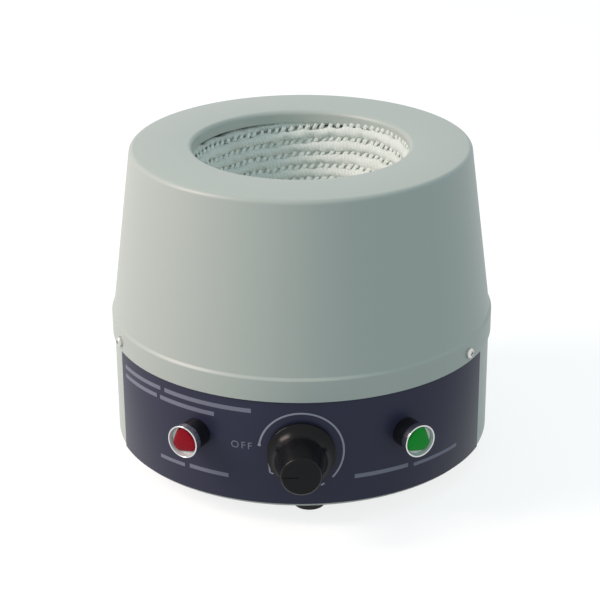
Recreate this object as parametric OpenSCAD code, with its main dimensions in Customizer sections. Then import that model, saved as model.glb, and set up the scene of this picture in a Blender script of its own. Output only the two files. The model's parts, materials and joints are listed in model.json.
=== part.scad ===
// Heating mantle for a round-bottomed laboratory flask.
// Z is up, the front faces -Y and the feet stand on z = 0, under the bowl's axis.
// A bearing is measured from the front, positive towards +X.

/* [Shell] */
// Room between the legs and the drum's outer face, for the dial control and the gland
drum_clear = 18.9; // [17:0.1:26]
// Height of the base drum below the cover's skirt
base_h = 60.7; // [58:0.1:70]
// Sheet thickness of the base
base_wall = 1.0; // [0.8:0.1:1.5]
// Rise of the pressed heel at the floor's edge
heel_rise = 3.1; // [2:0.1:5]
// Width of the pressed heel, from the flat floor to the drum's side
heel_run = 11.9; // [10:0.1:16]
// Height of the cover above its skirt's lower edge
cover_h = 98.9; // [97:0.1:110]
// Sheet thickness of the cover
cover_wall = 1.0; // [0.8:0.1:1.5]
// Height of the cover's straight skirt
skirt_h = 11.3; // [10:0.1:14]
// Step inwards from the skirt to the cone
joggle_step = 1.2; // [1:0.1:1.6]
// Distance that the cone leans in up to its top edge
cone_run = 12.4; // [9:0.1:16]
// Rounding of the cover's top edge
top_round = 2.6; // [2:0.1:5]
// Clearance of the flask opening round the bowl
mouth_clear = 1.6; // [1:0.1:3]
// Depth of the collar turned down into the opening
collar_h = 6.5; // [5.5:0.1:9]
// Rounding of the opening's edge
collar_round = 2.4; // [1.5:0.1:3]
// Bearings of the screws that hold the cover
cover_screw_bearings = [-67.6, 57.4, 175];

/* [Bowl] */
// Radius inside the heating bowl, at the crests of its ropes
bowl_r = 54; // [52:0.1:55]
// Height of a rope above the stitched grooves
rope_rise = 1.9; // [1:0.1:2.4]
// Thickness of the woven wall under the grooves
bowl_wall = 2.3; // [1.8:0.1:3]
// Number of rope rows from the rim to the bottom
rope_rows = 12; // [8:1:14]
// Rows of grooves whose stitches leave open gaps
gap_rows = 2; // [1:1:2]
// Stitch gaps in one row
gaps_per_row = 60; // [30:1:60]
// Width of a stitch gap
gap_w = 1.5; // [0.8:0.1:1.8]
// Length of a stitch gap
gap_l = 4.4; // [3:0.1:5]
// Lean of a stitch gap from upright
gap_lean = 35; // [20:1:50]
// Lap of the bowl's hem on the inner pan's flange
hem_lap = 4.4; // [3:0.1:7]
// Thickness of the hem
hem_t = 2.2; // [1.5:0.1:3]
// Gap between the collar and the hem
rim_gap = 1.4; // [0.8:0.1:3]
// Thickness of the insulation under the bowl
insulation_t = 10; // [8:0.5:11]
// Sheet thickness of the inner pan
pan_wall = 0.8; // [0.6:0.1:1]
// Width of the pan's flange past the legs
pan_flange_lip = 2; // [0:0.5:3]

/* [Supports and feet] */
// Clearance between the inner pan and the legs' tabs
leg_clear = 1.6; // [1:0.1:2]
// Width of a leg
leg_w = 14; // [10:0.5:16]
// Sheet thickness of a leg
leg_t = 1.5; // [1:0.1:2]
// Length of a leg's folded tabs
leg_tab = 9; // [8.5:0.1:9.5]
// Bend radius at a leg's tabs
leg_bend = 2.5; // [2:0.1:3]
// Height of the rubber feet
foot_h = 8; // [6:0.5:12]
// Radius of a foot at the bench
foot_r = 7; // [6:0.1:8]
// Radius of a foot at its top
foot_top_r = 8.6; // [8:0.1:10]
// Distance from a foot's centre to the edge of the flat floor
foot_inset = 12; // [11:0.5:20]
// Turn of the front foot from the front
foot_turn = 2.9; // [-5:0.1:5]

/* [Front panel] */
// Angle that the panel covers
panel_span = 135.5; // [120:0.5:170]
// Bearing of the panel's middle
panel_bearing = -0.6; // [-4:0.1:4]
// Thickness of the panel
panel_t = 0.5; // [0.3:0.1:0.8]
// Bare strip of the drum under the panel
panel_sill = 6; // [5:0.1:10]

/* [Dial] */
// Height of the dial's axis below the cover's skirt
dial_drop = 27; // [24:0.5:32]
// Radius of the knob's skirt
knob_r = 16.9; // [15:0.1:19]
// Radius of the knob's grip at its end
grip_r = 9.8; // [9:0.1:12]
// Reach of the knob from the panel
knob_reach = 26; // [24:0.5:30]
// Clearance between the knob and the panel
knob_clear = 1.2; // [0.8:0.1:4]
// Radius of the dial's shaft
shaft_r = 3; // [2.5:0.1:3.2]
// Running clearance of the shaft, on the radius
shaft_gap = 0.05; // [0.02:0.01:0.1]
// Radius of the dial control's case
control_r = 12; // [10:0.5:13]
// Depth of the dial control's case
control_d = 11; // [8:0.5:16]

/* [Lamps] */
// Bearing of the lamps on each side of the dial
lamp_bearing = 31.2; // [29:0.1:36]
// Height of the lamps' axes below the cover's skirt
lamp_drop = 23; // [20:0.5:28]
// Radius of a lamp's barrel
lamp_r = 7.4; // [7:0.1:8]
// Radius of a lamp's threaded neck
lamp_neck_r = 5.9; // [5.7:0.1:6.2]
// Reach of a lamp's barrel from the panel
lamp_reach = 9; // [7:0.5:12]
// Radius of a lamp's bezel
bezel_r = 8.45; // [8:0.05:9]
// Length of a lamp's bezel
bezel_h = 4; // [3:0.1:5]
// Radius of a lamp's lens
lens_r = 6.8; // [6:0.1:6.8]
// Distance from the lens's axis to its flats
lens_flat = 5.4; // [4.6:0.1:6]

/* [Cable entry] */
// Height of the cable entry above the floor
entry_h = 21; // [18:0.5:28]
// Radius of the cable that the seal takes
cable_r = 3.6; // [2.5:0.1:4]
// Radius of the gland's thread
gland_r = 8; // [7.5:0.1:8.5]
// Reach of the gland outside the drum
gland_reach = 25; // [22:0.5:28]

/* [Fasteners] */
// Shank radius of the small screws
screw_r = 1.5; // [1.5:0.1:1.7]
// Head radius of the small screws
screw_head_r = 2.7; // [2.5:0.1:3.2]
// Head height of the small screws
screw_head_h = 2; // [1.6:0.1:2.4]
// Clearance of a screw in a plain hole, on the radius
hole_gap = 0.2; // [0.1:0.05:0.4]

/* [Control board] */
// Length of the circuit board
board_l = 80; // [76:1:84]
// Width of the circuit board
board_w = 56; // [54:1:60]
// Thickness of the circuit board
board_t = 1.6; // [1.2:0.1:2]
// Height of the board's posts
post_h = 8; // [6:0.5:12]

/* [Hidden] */
$fn = 96;

// Clearances
seat_gap = 0.05;
sheet_gap = 0.1;
soft_gap = 0.2;
thread_gap = 0.05;

// Heights and radii that the pieces share
floor_z = foot_h;
floor_top = floor_z + base_wall;
skirt_z = floor_z + base_h;
top_z = skirt_z + cover_h;
joggle_z = skirt_z + skirt_h;
rim_z = joggle_z - cover_wall * tan(22.5);
panel_z = floor_z + panel_sill;
skirt_lip = 0.3;
dial_z = skirt_z - dial_drop;
lamp_z = skirt_z - lamp_drop;
entry_z = floor_z + entry_h;
cover_screw_z = (skirt_z + joggle_z - joggle_step) / 2;

// Bowl and its pan
groove_r = bowl_r + rope_rise;
bowl_out_r = groove_r + bowl_wall;
bowl_z = top_z - collar_h - rim_gap;
hem_z = bowl_z - hem_t;
insulation_r = bowl_out_r + soft_gap + insulation_t;
pan_r = insulation_r + soft_gap;
hem_r = pan_r + hem_lap;
leg_r = pan_r + pan_wall + leg_clear + leg_tab;
pan_flange_r = leg_r + pan_flange_lip;
rope_pitch = 90 / rope_rows;
rope_steps = 6;
lead_r = 1.2;
lead_x = 10;
lead_y = 22;
lead_hole_r = 3;

// Shell round the pan and its legs
base_r = leg_r + drum_clear;
base_ri = base_r - base_wall;
floor_flat_r = base_r - heel_run;
foot_ring_r = floor_flat_r - foot_inset;
cover_r = base_r + sheet_gap + cover_wall;
cone_foot_r = cover_r - joggle_step;
top_edge_r = cover_r - cone_run;
opening_r = bowl_r + mouth_clear;
panel_r = base_r + seat_gap + panel_t;

// Small screws, their nuts and washers
nut_r = 3.2;
nut_h = 2.4;
plain_hole_r = screw_r + hole_gap;
foot_screw_r = 2;
foot_nut_r = 4.04;
foot_nut_h = 3.2;
foot_bearings = [for (i = [0:2]) foot_turn + 120 * i];
leg_bearings = [for (i = [0:3]) 45 + 90 * i];
leg_hole_r = leg_r - leg_tab + 3.2;

// Board
board_z = floor_top + post_h;
board_top = board_z + board_t;
board_y = 4;
post_r = 3;
post_x = board_l / 2 - 4;
post_y = board_w / 2 - 5;

// Colours
paint = [0.70, 0.73, 0.70];
black = [0.08, 0.08, 0.09];
steel = [0.72, 0.72, 0.70];
copper = [0.72, 0.45, 0.20];

// ---- Helpers ----

function spot(p) = [p[0], p[1]];
function unit(v) = v / norm(v);
function left_of(a, b) = let (u = unit(b - a)) [-u[1], u[0]];
function turn(a) = a > 180 ? a - 360 : a < -180 ? a + 360 : a;
function backwards(list) = [for (i = [len(list) - 1:-1:0]) list[i]];

// Depth by which a flat disc of radius r stands off a drum of radius big_r
function sagitta(r, big_r) = big_r - sqrt(big_r * big_r - r * r);

// Arc of radius r that rounds the corner b between a and c
function corner(a, b, c, r, steps = 6) =
    let (u = unit(a - b), v = unit(c - b), half = acos(u * v) / 2, centre = b + unit(u + v) * r / sin(half),
        from = b + u * r / tan(half) - centre, to = b + v * r / tan(half) - centre,
        start = atan2(from[1], from[0]), sweep = turn(atan2(to[1], to[0]) - start))
    [for (i = [0:steps]) centre + r * [cos(start + sweep * i / steps), sin(start + sweep * i / steps)]];

// Outline of a path of [x, y, corner radius]
function rounded(path) = let (last = len(path) - 1)
    [for (i = [0:last]) each i == 0 || i == last || path[i][2] <= 0 ? [spot(path[i])]
        : corner(spot(path[i - 1]), spot(path[i]), spot(path[i + 1]), path[i][2])];

// The same path moved to its left by t, as the other face of a sheet
function shifted(path, t) = let (last = len(path) - 1)
    [for (i = [0:last]) let (
            n1 = left_of(spot(path[max(i, 1) - 1]), spot(path[max(i, 1)])),
            n2 = left_of(spot(path[min(i, last - 1)]), spot(path[min(i, last - 1) + 1])),
            place = spot(path[i]) + t * (n1 + n2) / (1 + n1 * n2),
            bend = n1[0] * n2[1] - n1[1] * n2[0] > 0 ? -t : t)
        [place[0], place[1], path[i][2] <= 0 ? 0 : max(0, path[i][2] + bend)]];

// Section of a bent or spun sheet
module sheet_section(path, t) {
    polygon(concat(rounded(path), backwards(rounded(shifted(path, t)))));
}

// Puts a piece on a bearing, with its local +Z outwards and +Y up
module facing(bearing, r, z) {
    rotate([0, 0, bearing]) translate([0, -r, z]) rotate([90, 0, 0]) children();
}

module at_bearing(bearing, r, z) {
    rotate([0, 0, bearing]) translate([0, -r, z]) children();
}

module tube(r_out, r_in, h) {
    difference() {
        cylinder(r = r_out, h = h);
        translate([0, 0, -1]) cylinder(r = r_in, h = h + 2);
    }
}

module hex_nut(r, h, bore) {
    difference() {
        cylinder(r = r, h = h, $fn = 6);
        translate([0, 0, -1]) cylinder(r = bore, h = h + 2);
    }
}

// Screw with its head above z = 0 and its shank below
module pan_screw(r, head_r, head_h, length) {
    path = [[head_r, 0, 0], [head_r, head_h, head_h * 0.6], [0, head_h, 0]];
    slot_l = head_r * 1.1;
    slot_w = head_r * 0.27;
    difference() {
        rotate_extrude() polygon(concat(rounded(path), [[0, 0]]));
        for (turn = [0, 90]) rotate([0, 0, turn])
            translate([-slot_l / 2, -slot_w / 2, head_h * 0.5]) cube([slot_l, slot_w, head_h]);
    }
    translate([0, 0, -length]) cylinder(r = r, h = length + head_h * 0.3);
}

// Ring of a wire across the mean direction at one of its points
function wire_ring(points, i, r, sides) = let (
        last = len(points) - 1,
        before = unit(points[max(i, 1)] - points[max(i, 1) - 1]),
        after = unit(points[min(i, last - 1) + 1] - points[min(i, last - 1)]),
        along = unit(before + after),
        side = unit(cross(along, abs(along[2]) > 0.9 ? [1, 0, 0] : [0, 0, 1])),
        other = cross(side, along),
        reach = r / (before * along),
        step = 360 / sides)
    [for (k = [0:sides - 1]) points[i] + reach * (cos(step * k) * side + sin(step * k) * other)];

// Round wire swept through a list of points
module wire(points, r, sides = 12) {
    rings = len(points);
    polyhedron(
        points = [for (i = [0:rings - 1]) each wire_ring(points, i, r, sides)],
        faces = concat(
            [[for (k = [0:sides - 1]) k]],
            [for (i = [0:rings - 2]) for (k = [0:sides - 1]) let (n = (k + 1) % sides)
                [i * sides + n, i * sides + k, (i + 1) * sides + k, (i + 1) * sides + n]],
            [[for (k = [sides - 1:-1:0]) (rings - 1) * sides + k]]));
}

// ---- Shell ----

cover_path = [
    [cover_r, skirt_z, 0],
    [cover_r, joggle_z, 0.8],
    [cone_foot_r, joggle_z + joggle_step, 0.8],
    [top_edge_r, top_z, top_round],
    [opening_r, top_z, collar_round],
    [opening_r, top_z - collar_h, 0]];

// Spun cover: skirt, joggle, cone, flat top and the collar turned into the opening
module cover() {
    color(paint) difference() {
        rotate_extrude($fn = 180) sheet_section(cover_path, cover_wall);
        for (bearing = cover_screw_bearings)
            facing(bearing, 0, cover_screw_z) cylinder(r = plain_hole_r, h = cover_r + 1);
    }
}

floor_round = 45;
heel_round = 3.5;
base_path = [
    [0, floor_z, 0],
    [floor_flat_r, floor_z, floor_round],
    [base_r, floor_z + heel_rise, heel_round],
    [base_r, rim_z, 0]];

vent_count = 24;
vent_r = 57;
vent_l = 12;
vent_w = 4;

// Slot with round ends in the floor, along a bearing
module vent() {
    translate([-vent_w / 2, -vent_r - vent_l / 2, floor_z - 1]) cube([vent_w, vent_l, base_wall + 2]);
    for (end = [-1, 1])
        translate([0, -vent_r + end * vent_l / 2, floor_z - 1])
            cylinder(r = vent_w / 2, h = base_wall + 2, $fn = 24);
}

module board_corners() {
    for (sx = [-1, 1]) for (sy = [-1, 1]) translate([sx * post_x, board_y + sy * post_y, 0]) children();
}

// Base drum with its pressed heel, pierced floor and openings for what it carries
module base_pan() {
    color(paint) difference() {
        rotate_extrude($fn = 180) sheet_section(base_path, base_wall);
        for (bearing = cover_screw_bearings)
            facing(bearing, 0, cover_screw_z) cylinder(r = cover_nut_hole_r, h = base_r + 1);
        facing(0, base_r - 8, dial_z) cylinder(r = dial_hole_r, h = 10);
        for (side = [-1, 1])
            facing(side * lamp_bearing, base_r - 8, lamp_z) cylinder(r = lamp_hole_r, h = 10);
        facing(180, base_r - 8, entry_z) cylinder(r = gland_r + hole_gap, h = 10);
        for (bearing = foot_bearings)
            at_bearing(bearing, foot_ring_r, floor_z - 1)
                cylinder(r = foot_screw_r + hole_gap, h = base_wall + 2);
        for (bearing = leg_bearings)
            at_bearing(bearing, leg_hole_r, floor_z - 1) cylinder(r = plain_hole_r, h = base_wall + 2);
        board_corners() translate([0, 0, floor_z - 1]) cylinder(r = plain_hole_r, h = base_wall + 2);
        translate([0, earth_y, floor_z - 1]) cylinder(r = foot_screw_r + hole_gap, h = base_wall + 2);
        for (i = [0:vent_count - 1]) rotate([0, 0, 360 / vent_count * (i + 0.5)]) vent();
    }
}

cover_nut_r = 3.6;
cover_nut_neck_r = 2.4;
cover_nut_hole_r = cover_nut_neck_r + seat_gap;
cover_nut_h = 3;

// Screws through the skirt, each with its head on the cover
module cover_screws() {
    color(steel) for (bearing = cover_screw_bearings)
        facing(bearing, cover_r + seat_gap, cover_screw_z)
            pan_screw(screw_r, screw_head_r, screw_head_h, cover_nut_h + base_wall + cover_wall + 2);
}

// Press nuts behind the rim, with their necks in its holes
module cover_nuts() {
    color(steel) for (bearing = cover_screw_bearings)
        facing(bearing, base_ri - sagitta(cover_nut_r, base_ri) - seat_gap, cover_screw_z)
            difference() {
                union() {
                    translate([0, 0, -cover_nut_h]) cylinder(r = cover_nut_r, h = cover_nut_h);
                    cylinder(r = cover_nut_neck_r, h = base_wall * 0.8);
                }
                translate([0, 0, -cover_nut_h - 1]) cylinder(r = screw_r + thread_gap, h = cover_nut_h + 4);
            }
}

// Thin printed panel bonded round the front of the drum
module control_panel() {
    color([0.24, 0.25, 0.31]) difference() {
        rotate([0, 0, panel_bearing - 90 - panel_span / 2]) rotate_extrude(angle = panel_span, $fn = 180)
            translate([base_r + seat_gap, panel_z]) square([panel_t, skirt_z - skirt_lip - panel_z]);
        facing(0, base_r - 1, dial_z) cylinder(r = dial_hole_r, h = 5);
        for (side = [-1, 1])
            facing(side * lamp_bearing, base_r - 1, lamp_z) cylinder(r = lamp_hole_r, h = 5);
    }
}

// ---- Bowl ----

// Radius of the woven wall's inner face at a depth of so many degrees below the rim
function weave_r(depth) = let (u = depth / rope_pitch - floor(depth / rope_pitch + 0.001))
    groove_r - rope_rise * sqrt(max(0, sin(180 * u)));

function bowl_section() = concat(
    [for (i = [0:rope_rows * rope_steps - 1]) let (depth = i * rope_pitch / rope_steps)
        weave_r(depth) * [cos(depth), -sin(depth)]],
    [[0, -groove_r], [0, -bowl_out_r]],
    [for (depth = [87:-3:3]) if (bowl_out_r * sin(depth) > hem_t + 0.5)
        bowl_out_r * [cos(depth), -sin(depth)]],
    [[sqrt(bowl_out_r * bowl_out_r - hem_t * hem_t), -hem_t], [hem_r, -hem_t], [hem_r, 0]]);

// Woven heating bowl: rows of heating rope in a glass-fibre wall, with the open
// stitches of its upper grooves, and a hem that rests on the inner pan
module heating_bowl() {
    color([0.80, 0.82, 0.79]) translate([0, 0, bowl_z]) difference() {
        rotate_extrude($fn = 120) polygon(bowl_section());
        for (row = [1:gap_rows]) for (i = [0:gaps_per_row - 1])
            rotate([0, 0, 360 / gaps_per_row * (i + row / 2)]) rotate([row * rope_pitch, 0, 0])
                translate([0, -groove_r - bowl_wall / 2, 0]) rotate([0, -gap_lean, 0])
                    cube([gap_w, bowl_wall + 2, gap_l], center = true);
    }
}

module lead_holes(r) {
    for (side = [-1, 1])
        translate([side * lead_x, lead_y, bowl_z - pan_r - 10]) cylinder(r = r, h = pan_r, $fn = 48);
}

// Blanket of ceramic wool between the bowl and its pan
module insulation() {
    color([0.90, 0.88, 0.80]) difference() {
        translate([0, 0, bowl_z]) sphere(r = insulation_r);
        translate([0, 0, bowl_z]) sphere(r = bowl_out_r + soft_gap);
        translate([-100, -100, hem_z]) cube([200, 200, 100]);
        lead_holes(lead_hole_r + soft_gap);
    }
}

// Spun pan with a flange that rests on the legs
module inner_pan() {
    color([0.76, 0.77, 0.78]) difference() {
        union() {
            translate([0, 0, bowl_z]) sphere(r = pan_r + pan_wall);
            translate([0, 0, hem_z - pan_wall]) cylinder(r = pan_flange_r, h = pan_wall);
        }
        translate([0, 0, bowl_z]) sphere(r = pan_r);
        translate([-100, -100, hem_z]) cube([200, 200, 100]);
        lead_holes(lead_hole_r + seat_gap);
        for (bearing = leg_bearings)
            at_bearing(bearing, leg_hole_r, hem_z - 5) cylinder(r = screw_r + thread_gap, h = 10);
    }
}

// Ceramic bushes that the element's leads pass through
module lead_bushes() {
    bush_z = bowl_z - pan_r;
    color([0.93, 0.92, 0.88]) for (side = [-1, 1])
        translate([side * lead_x, lead_y, bush_z - 1])
            tube(lead_hole_r, lead_r + seat_gap, pan_wall + 5);
}

// ---- Supports and feet ----

// Strip folded into a C, from the floor up to the pan's flange
module support_leg(bearing) {
    path = [
        [leg_r - leg_tab, floor_top, 0],
        [leg_r, floor_top, leg_bend],
        [leg_r, hem_z - pan_wall, leg_bend],
        [leg_r - leg_tab, hem_z - pan_wall, 0]];
    color(steel) difference() {
        rotate([0, 0, bearing - 90]) rotate([90, 0, 0])
            linear_extrude(height = leg_w, center = true) sheet_section(path, leg_t);
        at_bearing(bearing, leg_hole_r, floor_z) cylinder(r = plain_hole_r, h = 5);
        at_bearing(bearing, leg_hole_r, hem_z - 5) cylinder(r = plain_hole_r, h = 10);
    }
}

leg_grip = leg_t + pan_wall;

// Screws at both ends of the legs
module leg_screws() {
    color(steel) for (bearing = leg_bearings) {
        at_bearing(bearing, leg_hole_r, floor_z) rotate([180, 0, 0])
            pan_screw(screw_r, screw_head_r, screw_head_h, base_wall + leg_t + nut_h + 1);
        at_bearing(bearing, leg_hole_r, hem_z - pan_wall - leg_t) rotate([180, 0, 0])
            pan_screw(screw_r, screw_head_r, screw_head_h, leg_grip);
    }
}

// Nuts on the legs' lower tabs
module leg_nuts() {
    color(steel) for (bearing = leg_bearings)
        at_bearing(bearing, leg_hole_r, floor_top + leg_t) hex_nut(nut_r, nut_h, screw_r + thread_gap);
}

foot_seat = 3;

// Rubber foot with a sunk seat for its screw
module foot(bearing) {
    path = [[foot_screw_r + hole_gap, foot_seat], [foot_r * 0.72, foot_seat], [foot_r * 0.72, 0],
        [foot_r - 0.8, 0], [foot_r, 0.8], [foot_top_r, foot_h], [foot_screw_r + hole_gap, foot_h]];
    color(black) at_bearing(bearing, foot_ring_r, 0) rotate_extrude() polygon(path);
}

module foot_screws() {
    color(steel) for (bearing = foot_bearings)
        at_bearing(bearing, foot_ring_r, foot_seat) rotate([180, 0, 0])
            pan_screw(foot_screw_r, foot_r * 0.62, 2.2, foot_h - foot_seat + base_wall + foot_nut_h + 1);
}

module foot_nuts() {
    color(steel) for (bearing = foot_bearings)
        at_bearing(bearing, foot_ring_r, floor_top)
            hex_nut(foot_nut_r, foot_nut_h, foot_screw_r + thread_gap);
}

// ---- Dial ----

bush_r = 4.5;
dial_hole_r = bush_r + hole_gap;
dial_washer_r = 6.5;
dial_washer_t = 0.8;
dial_nut_r = 6.6;
dial_nut_h = 2;
bush_reach = 4;
bush_flange_r = 8;
bush_flange_t = 1.5;
bush_face = -(panel_t + seat_gap + base_wall) - sagitta(bush_flange_r, base_ri) - seat_gap;
case_face = bush_face - bush_flange_t;

// Local z = 0 of the dial's pieces is the panel's face
module on_dial() {
    facing(0, panel_r, dial_z) children();
}

skirt_rim = 3.1;
recess_r = knob_r - skirt_rim;
skirt_edge = 1.9;
skirt_rise = 4.8;
knob_lip = 0.8;
grip_flare = 2.5;
flare_round = 9;
cap_round = 1.6;
cap_t = 5;
hub_r = 8.5;
recess_z = max(bush_reach, knob_clear) + 0.8;
bore_end = knob_reach - cap_t;

// Knob: thin hollow skirt, flared foot and a tapered grip with a pointer groove
module knob() {
    path = [
        [recess_r, knob_clear, 0],
        [knob_r, knob_clear, 0.4],
        [knob_r, knob_clear + skirt_edge, 0.8],
        [grip_r + grip_flare, knob_clear + skirt_rise, flare_round],
        [grip_r, knob_reach, cap_round],
        [0, knob_reach, 0]];
    color(black) on_dial() difference() {
        rotate_extrude() polygon(concat(rounded(path),
            [[0, recess_z], [hub_r, recess_z], [recess_r, knob_clear + knob_lip]]));
        translate([0, 0, recess_z - 1]) cylinder(r = shaft_r + seat_gap, h = bore_end - recess_z + 1);
        translate([0, 0, grub_z]) rotate([90, 0, 0])
            cylinder(r = grub_r + seat_gap, h = grip_r * 2, $fn = 32);
        translate([-grip_r - 1, -pointer_w / 2, knob_reach - pointer_d]) cube([grip_r, pointer_w, 2]);
    }
}

pointer_w = 0.8;
pointer_d = 0.3;
grub_r = 1.5;
grub_drop = 13.5;
grub_z = knob_reach - grub_drop;
grub_l = 5;

// Grub screw that holds the knob on its shaft
module knob_screw() {
    color(steel) on_dial() translate([0, -shaft_r - seat_gap, grub_z]) rotate([90, 0, 0])
        difference() {
            cylinder(r = grub_r, h = grub_l, $fn = 32);
            translate([0, 0, grub_l - 1.5]) cylinder(r = 0.75, h = 3, $fn = 6);
        }
}

module dial_shaft() {
    inner_end = case_face - control_d + 2;
    color(steel) on_dial() translate([0, 0, inner_end])
        cylinder(r = shaft_r, h = bore_end - 1 - inner_end);
}

// Threaded bush that the shaft turns in
module dial_bush() {
    color([0.80, 0.66, 0.36]) on_dial() difference() {
        union() {
            translate([0, 0, case_face]) cylinder(r = bush_flange_r, h = bush_flange_t);
            translate([0, 0, case_face]) cylinder(r = bush_r, h = bush_reach - case_face);
        }
        translate([0, 0, case_face - 1]) cylinder(r = shaft_r + shaft_gap, h = bush_reach - case_face + 2);
    }
}

// Round case of the dial control
module dial_case() {
    color([0.20, 0.20, 0.22]) on_dial() difference() {
        translate([0, 0, case_face - control_d]) cylinder(r = control_r, h = control_d);
        translate([0, 0, case_face - control_d + 1.5]) cylinder(r = shaft_r + hole_gap, h = control_d);
    }
}

tag_pitch = 5;
tag_z = case_face - control_d / 2;
tag_l = 7;

// Solder tags under the case
module dial_tags() {
    color(copper) on_dial() for (i = [-1:1])
        translate([i * tag_pitch - 1, -control_r - tag_l, tag_z - 0.4])
            cube([2, tag_l + sagitta(max(abs(i * tag_pitch) - 1, 0), control_r), 0.8]);
}

module dial_washer() {
    color(steel) on_dial() translate([0, 0, seat_gap])
        tube(dial_washer_r, bush_r + seat_gap, dial_washer_t);
}

module dial_nut() {
    color(steel) on_dial() translate([0, 0, seat_gap + dial_washer_t])
        hex_nut(dial_nut_r, dial_nut_h, bush_r + thread_gap);
}

// ---- Lamps ----

lamp_hole_r = lamp_neck_r + hole_gap;
lamp_bore_r = 4.6;
lamp_back = -17;
lamp_web_z = -11;
lamp_web_t = 2;
lamp_nut_h = 3;
lamp_nut_r = 8.4;

module on_lamp(side) {
    facing(side * lamp_bearing, panel_r, lamp_z) children();
}

// Black lamp holder: barrel outside, threaded neck through the wall
module lamp_body(side) {
    outline = [
        [0, lamp_web_z], [0, lamp_web_z - lamp_web_t], [lamp_bore_r, lamp_web_z - lamp_web_t],
        [lamp_bore_r, lamp_back], [lamp_neck_r, lamp_back], [lamp_neck_r, seat_gap], [lamp_r, seat_gap],
        [lamp_r, lamp_reach], [lamp_bore_r, lamp_reach], [lamp_bore_r, lamp_web_z]];
    color(black) on_lamp(side) rotate_extrude() polygon(outline);
}

lens_base = 0.9;
lens_drop = 1;
lens_h = bezel_h - lens_drop;
lens_bevel = 1.6;
lens_turn = 10;
bezel_floor = lens_base + seat_gap;
bezel_floor_t = 0.7;

// Round bar with three flats, the outline of a jewel's crown; each lamp has it turned a little
module three_flats(side, h, gap) {
    intersection() {
        cylinder(r = lens_r + gap, h = h);
        rotate([0, 0, 90 - side * lens_turn]) cylinder(r = (lens_flat + gap) * 2, h = h, $fn = 3);
    }
}

// Bright bezel: flared mouth and a floor that holds the lens by its base
module lamp_bezel(side) {
    outline = [
        [lens_r + seat_gap, 0], [bezel_r, 0], [bezel_r, bezel_h - 0.4], [bezel_r - 0.4, bezel_h],
        [bezel_r - 0.7, bezel_h], [lens_r + 0.4, bezel_floor + bezel_floor_t],
        [0, bezel_floor + bezel_floor_t], [0, bezel_floor], [lens_r + seat_gap, bezel_floor]];
    color([0.85, 0.85, 0.86]) on_lamp(side) translate([0, 0, lamp_reach]) difference() {
        rotate_extrude() polygon(outline);
        three_flats(side, bezel_h, seat_gap);
    }
}

// Jewel lens: round base and a bevelled crown with three flats
module lamp_lens(side, shade) {
    color(shade) on_lamp(side) translate([0, 0, lamp_reach]) {
        cylinder(r = lens_r, h = lens_base);
        intersection() {
            three_flats(side, lens_h, 0);
            cylinder(r1 = lens_r + lens_h - lens_bevel, r2 = lens_r - lens_bevel, h = lens_h);
        }
    }
}

bulb_r = 2.8;
bulb_l = 15;

// Neon bulb that stands on the holder's web
module lamp_bulb(side) {
    color([1, 0.75, 0.5, 0.6]) on_lamp(side) translate([0, 0, lamp_web_z]) {
        cylinder(r = bulb_r, h = bulb_l - bulb_r, $fn = 48);
        translate([0, 0, bulb_l - bulb_r]) sphere(r = bulb_r, $fn = 48);
    }
}

// Ring nut behind the wall
module lamp_nut(side) {
    nut_face = -(panel_t + seat_gap + base_wall) - sagitta(lamp_nut_r, base_ri) - seat_gap;
    color(black) on_lamp(side) translate([0, 0, nut_face - lamp_nut_h])
        hex_nut(lamp_nut_r, lamp_nut_h, lamp_neck_r + thread_gap);
}

// ---- Cable entry ----

gland_bore_r = 5;
gland_hex_r = 12.5;
gland_hex_h = 5;
gland_thread_l = 8;
gland_cap_r = 10.6;
gland_in = 10;
gland_nut_h = 4;
lip_l = 1.5;
cap_z = gland_hex_h + seat_gap;
seal_z = cap_z + gland_thread_l;
seal_l = gland_reach - seal_z - 1.6;
seal_r = gland_r - 1.4;

// Local z = 0 of the gland's pieces is the drum's outer face
module on_entry() {
    facing(180, base_r, entry_z) children();
}

module gland_body() {
    color(black) on_entry() difference() {
        union() {
            translate([0, 0, seat_gap]) cylinder(r = gland_hex_r, h = gland_hex_h - seat_gap, $fn = 6);
            translate([0, 0, -gland_in]) cylinder(r = gland_r, h = gland_in + gland_hex_h);
            cylinder(r = gland_r, h = seal_z - seat_gap);
        }
        translate([0, 0, -gland_in - 1]) cylinder(r = gland_bore_r, h = gland_in + seal_z + 2);
    }
}

// Domed cap that squeezes the seal
module gland_cap() {
    path = [
        [gland_r + thread_gap, cap_z, 0],
        [gland_cap_r, cap_z, 0.6],
        [gland_cap_r, gland_reach - 3, 3],
        [gland_cap_r - 4, gland_reach, 1],
        [gland_bore_r, gland_reach, 0]];
    color(black) on_entry() rotate_extrude() polygon(concat(rounded(path), [
        [gland_bore_r, gland_reach - lip_l],
        [seal_r + seat_gap, gland_reach - lip_l],
        [seal_r + seat_gap, seal_z],
        [gland_r + thread_gap, seal_z]]));
}

module gland_seal() {
    color([0.16, 0.16, 0.16]) on_entry() translate([0, 0, seal_z]) tube(seal_r, cable_r, seal_l);
}

module gland_nut() {
    nut_face = -base_wall - sagitta(gland_hex_r, base_ri) - seat_gap;
    color(black) on_entry() translate([0, 0, nut_face - gland_nut_h])
        hex_nut(gland_hex_r, gland_nut_h, gland_r + thread_gap);
}

earth_inset = 26.9;
earth_y = base_r - earth_inset;

// Earth screw by the cable entry, with its nut on the floor
module earth_screw() {
    color(copper) translate([0, earth_y, floor_z]) rotate([180, 0, 0])
        pan_screw(foot_screw_r, foot_r * 0.62, 2.2, base_wall + 2 * foot_nut_h + 2);
    color(copper) for (i = [0, 1])
        translate([0, earth_y, floor_top + i * foot_nut_h])
            hex_nut(foot_nut_r, foot_nut_h, foot_screw_r + thread_gap);
}

// ---- Control board ----

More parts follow.
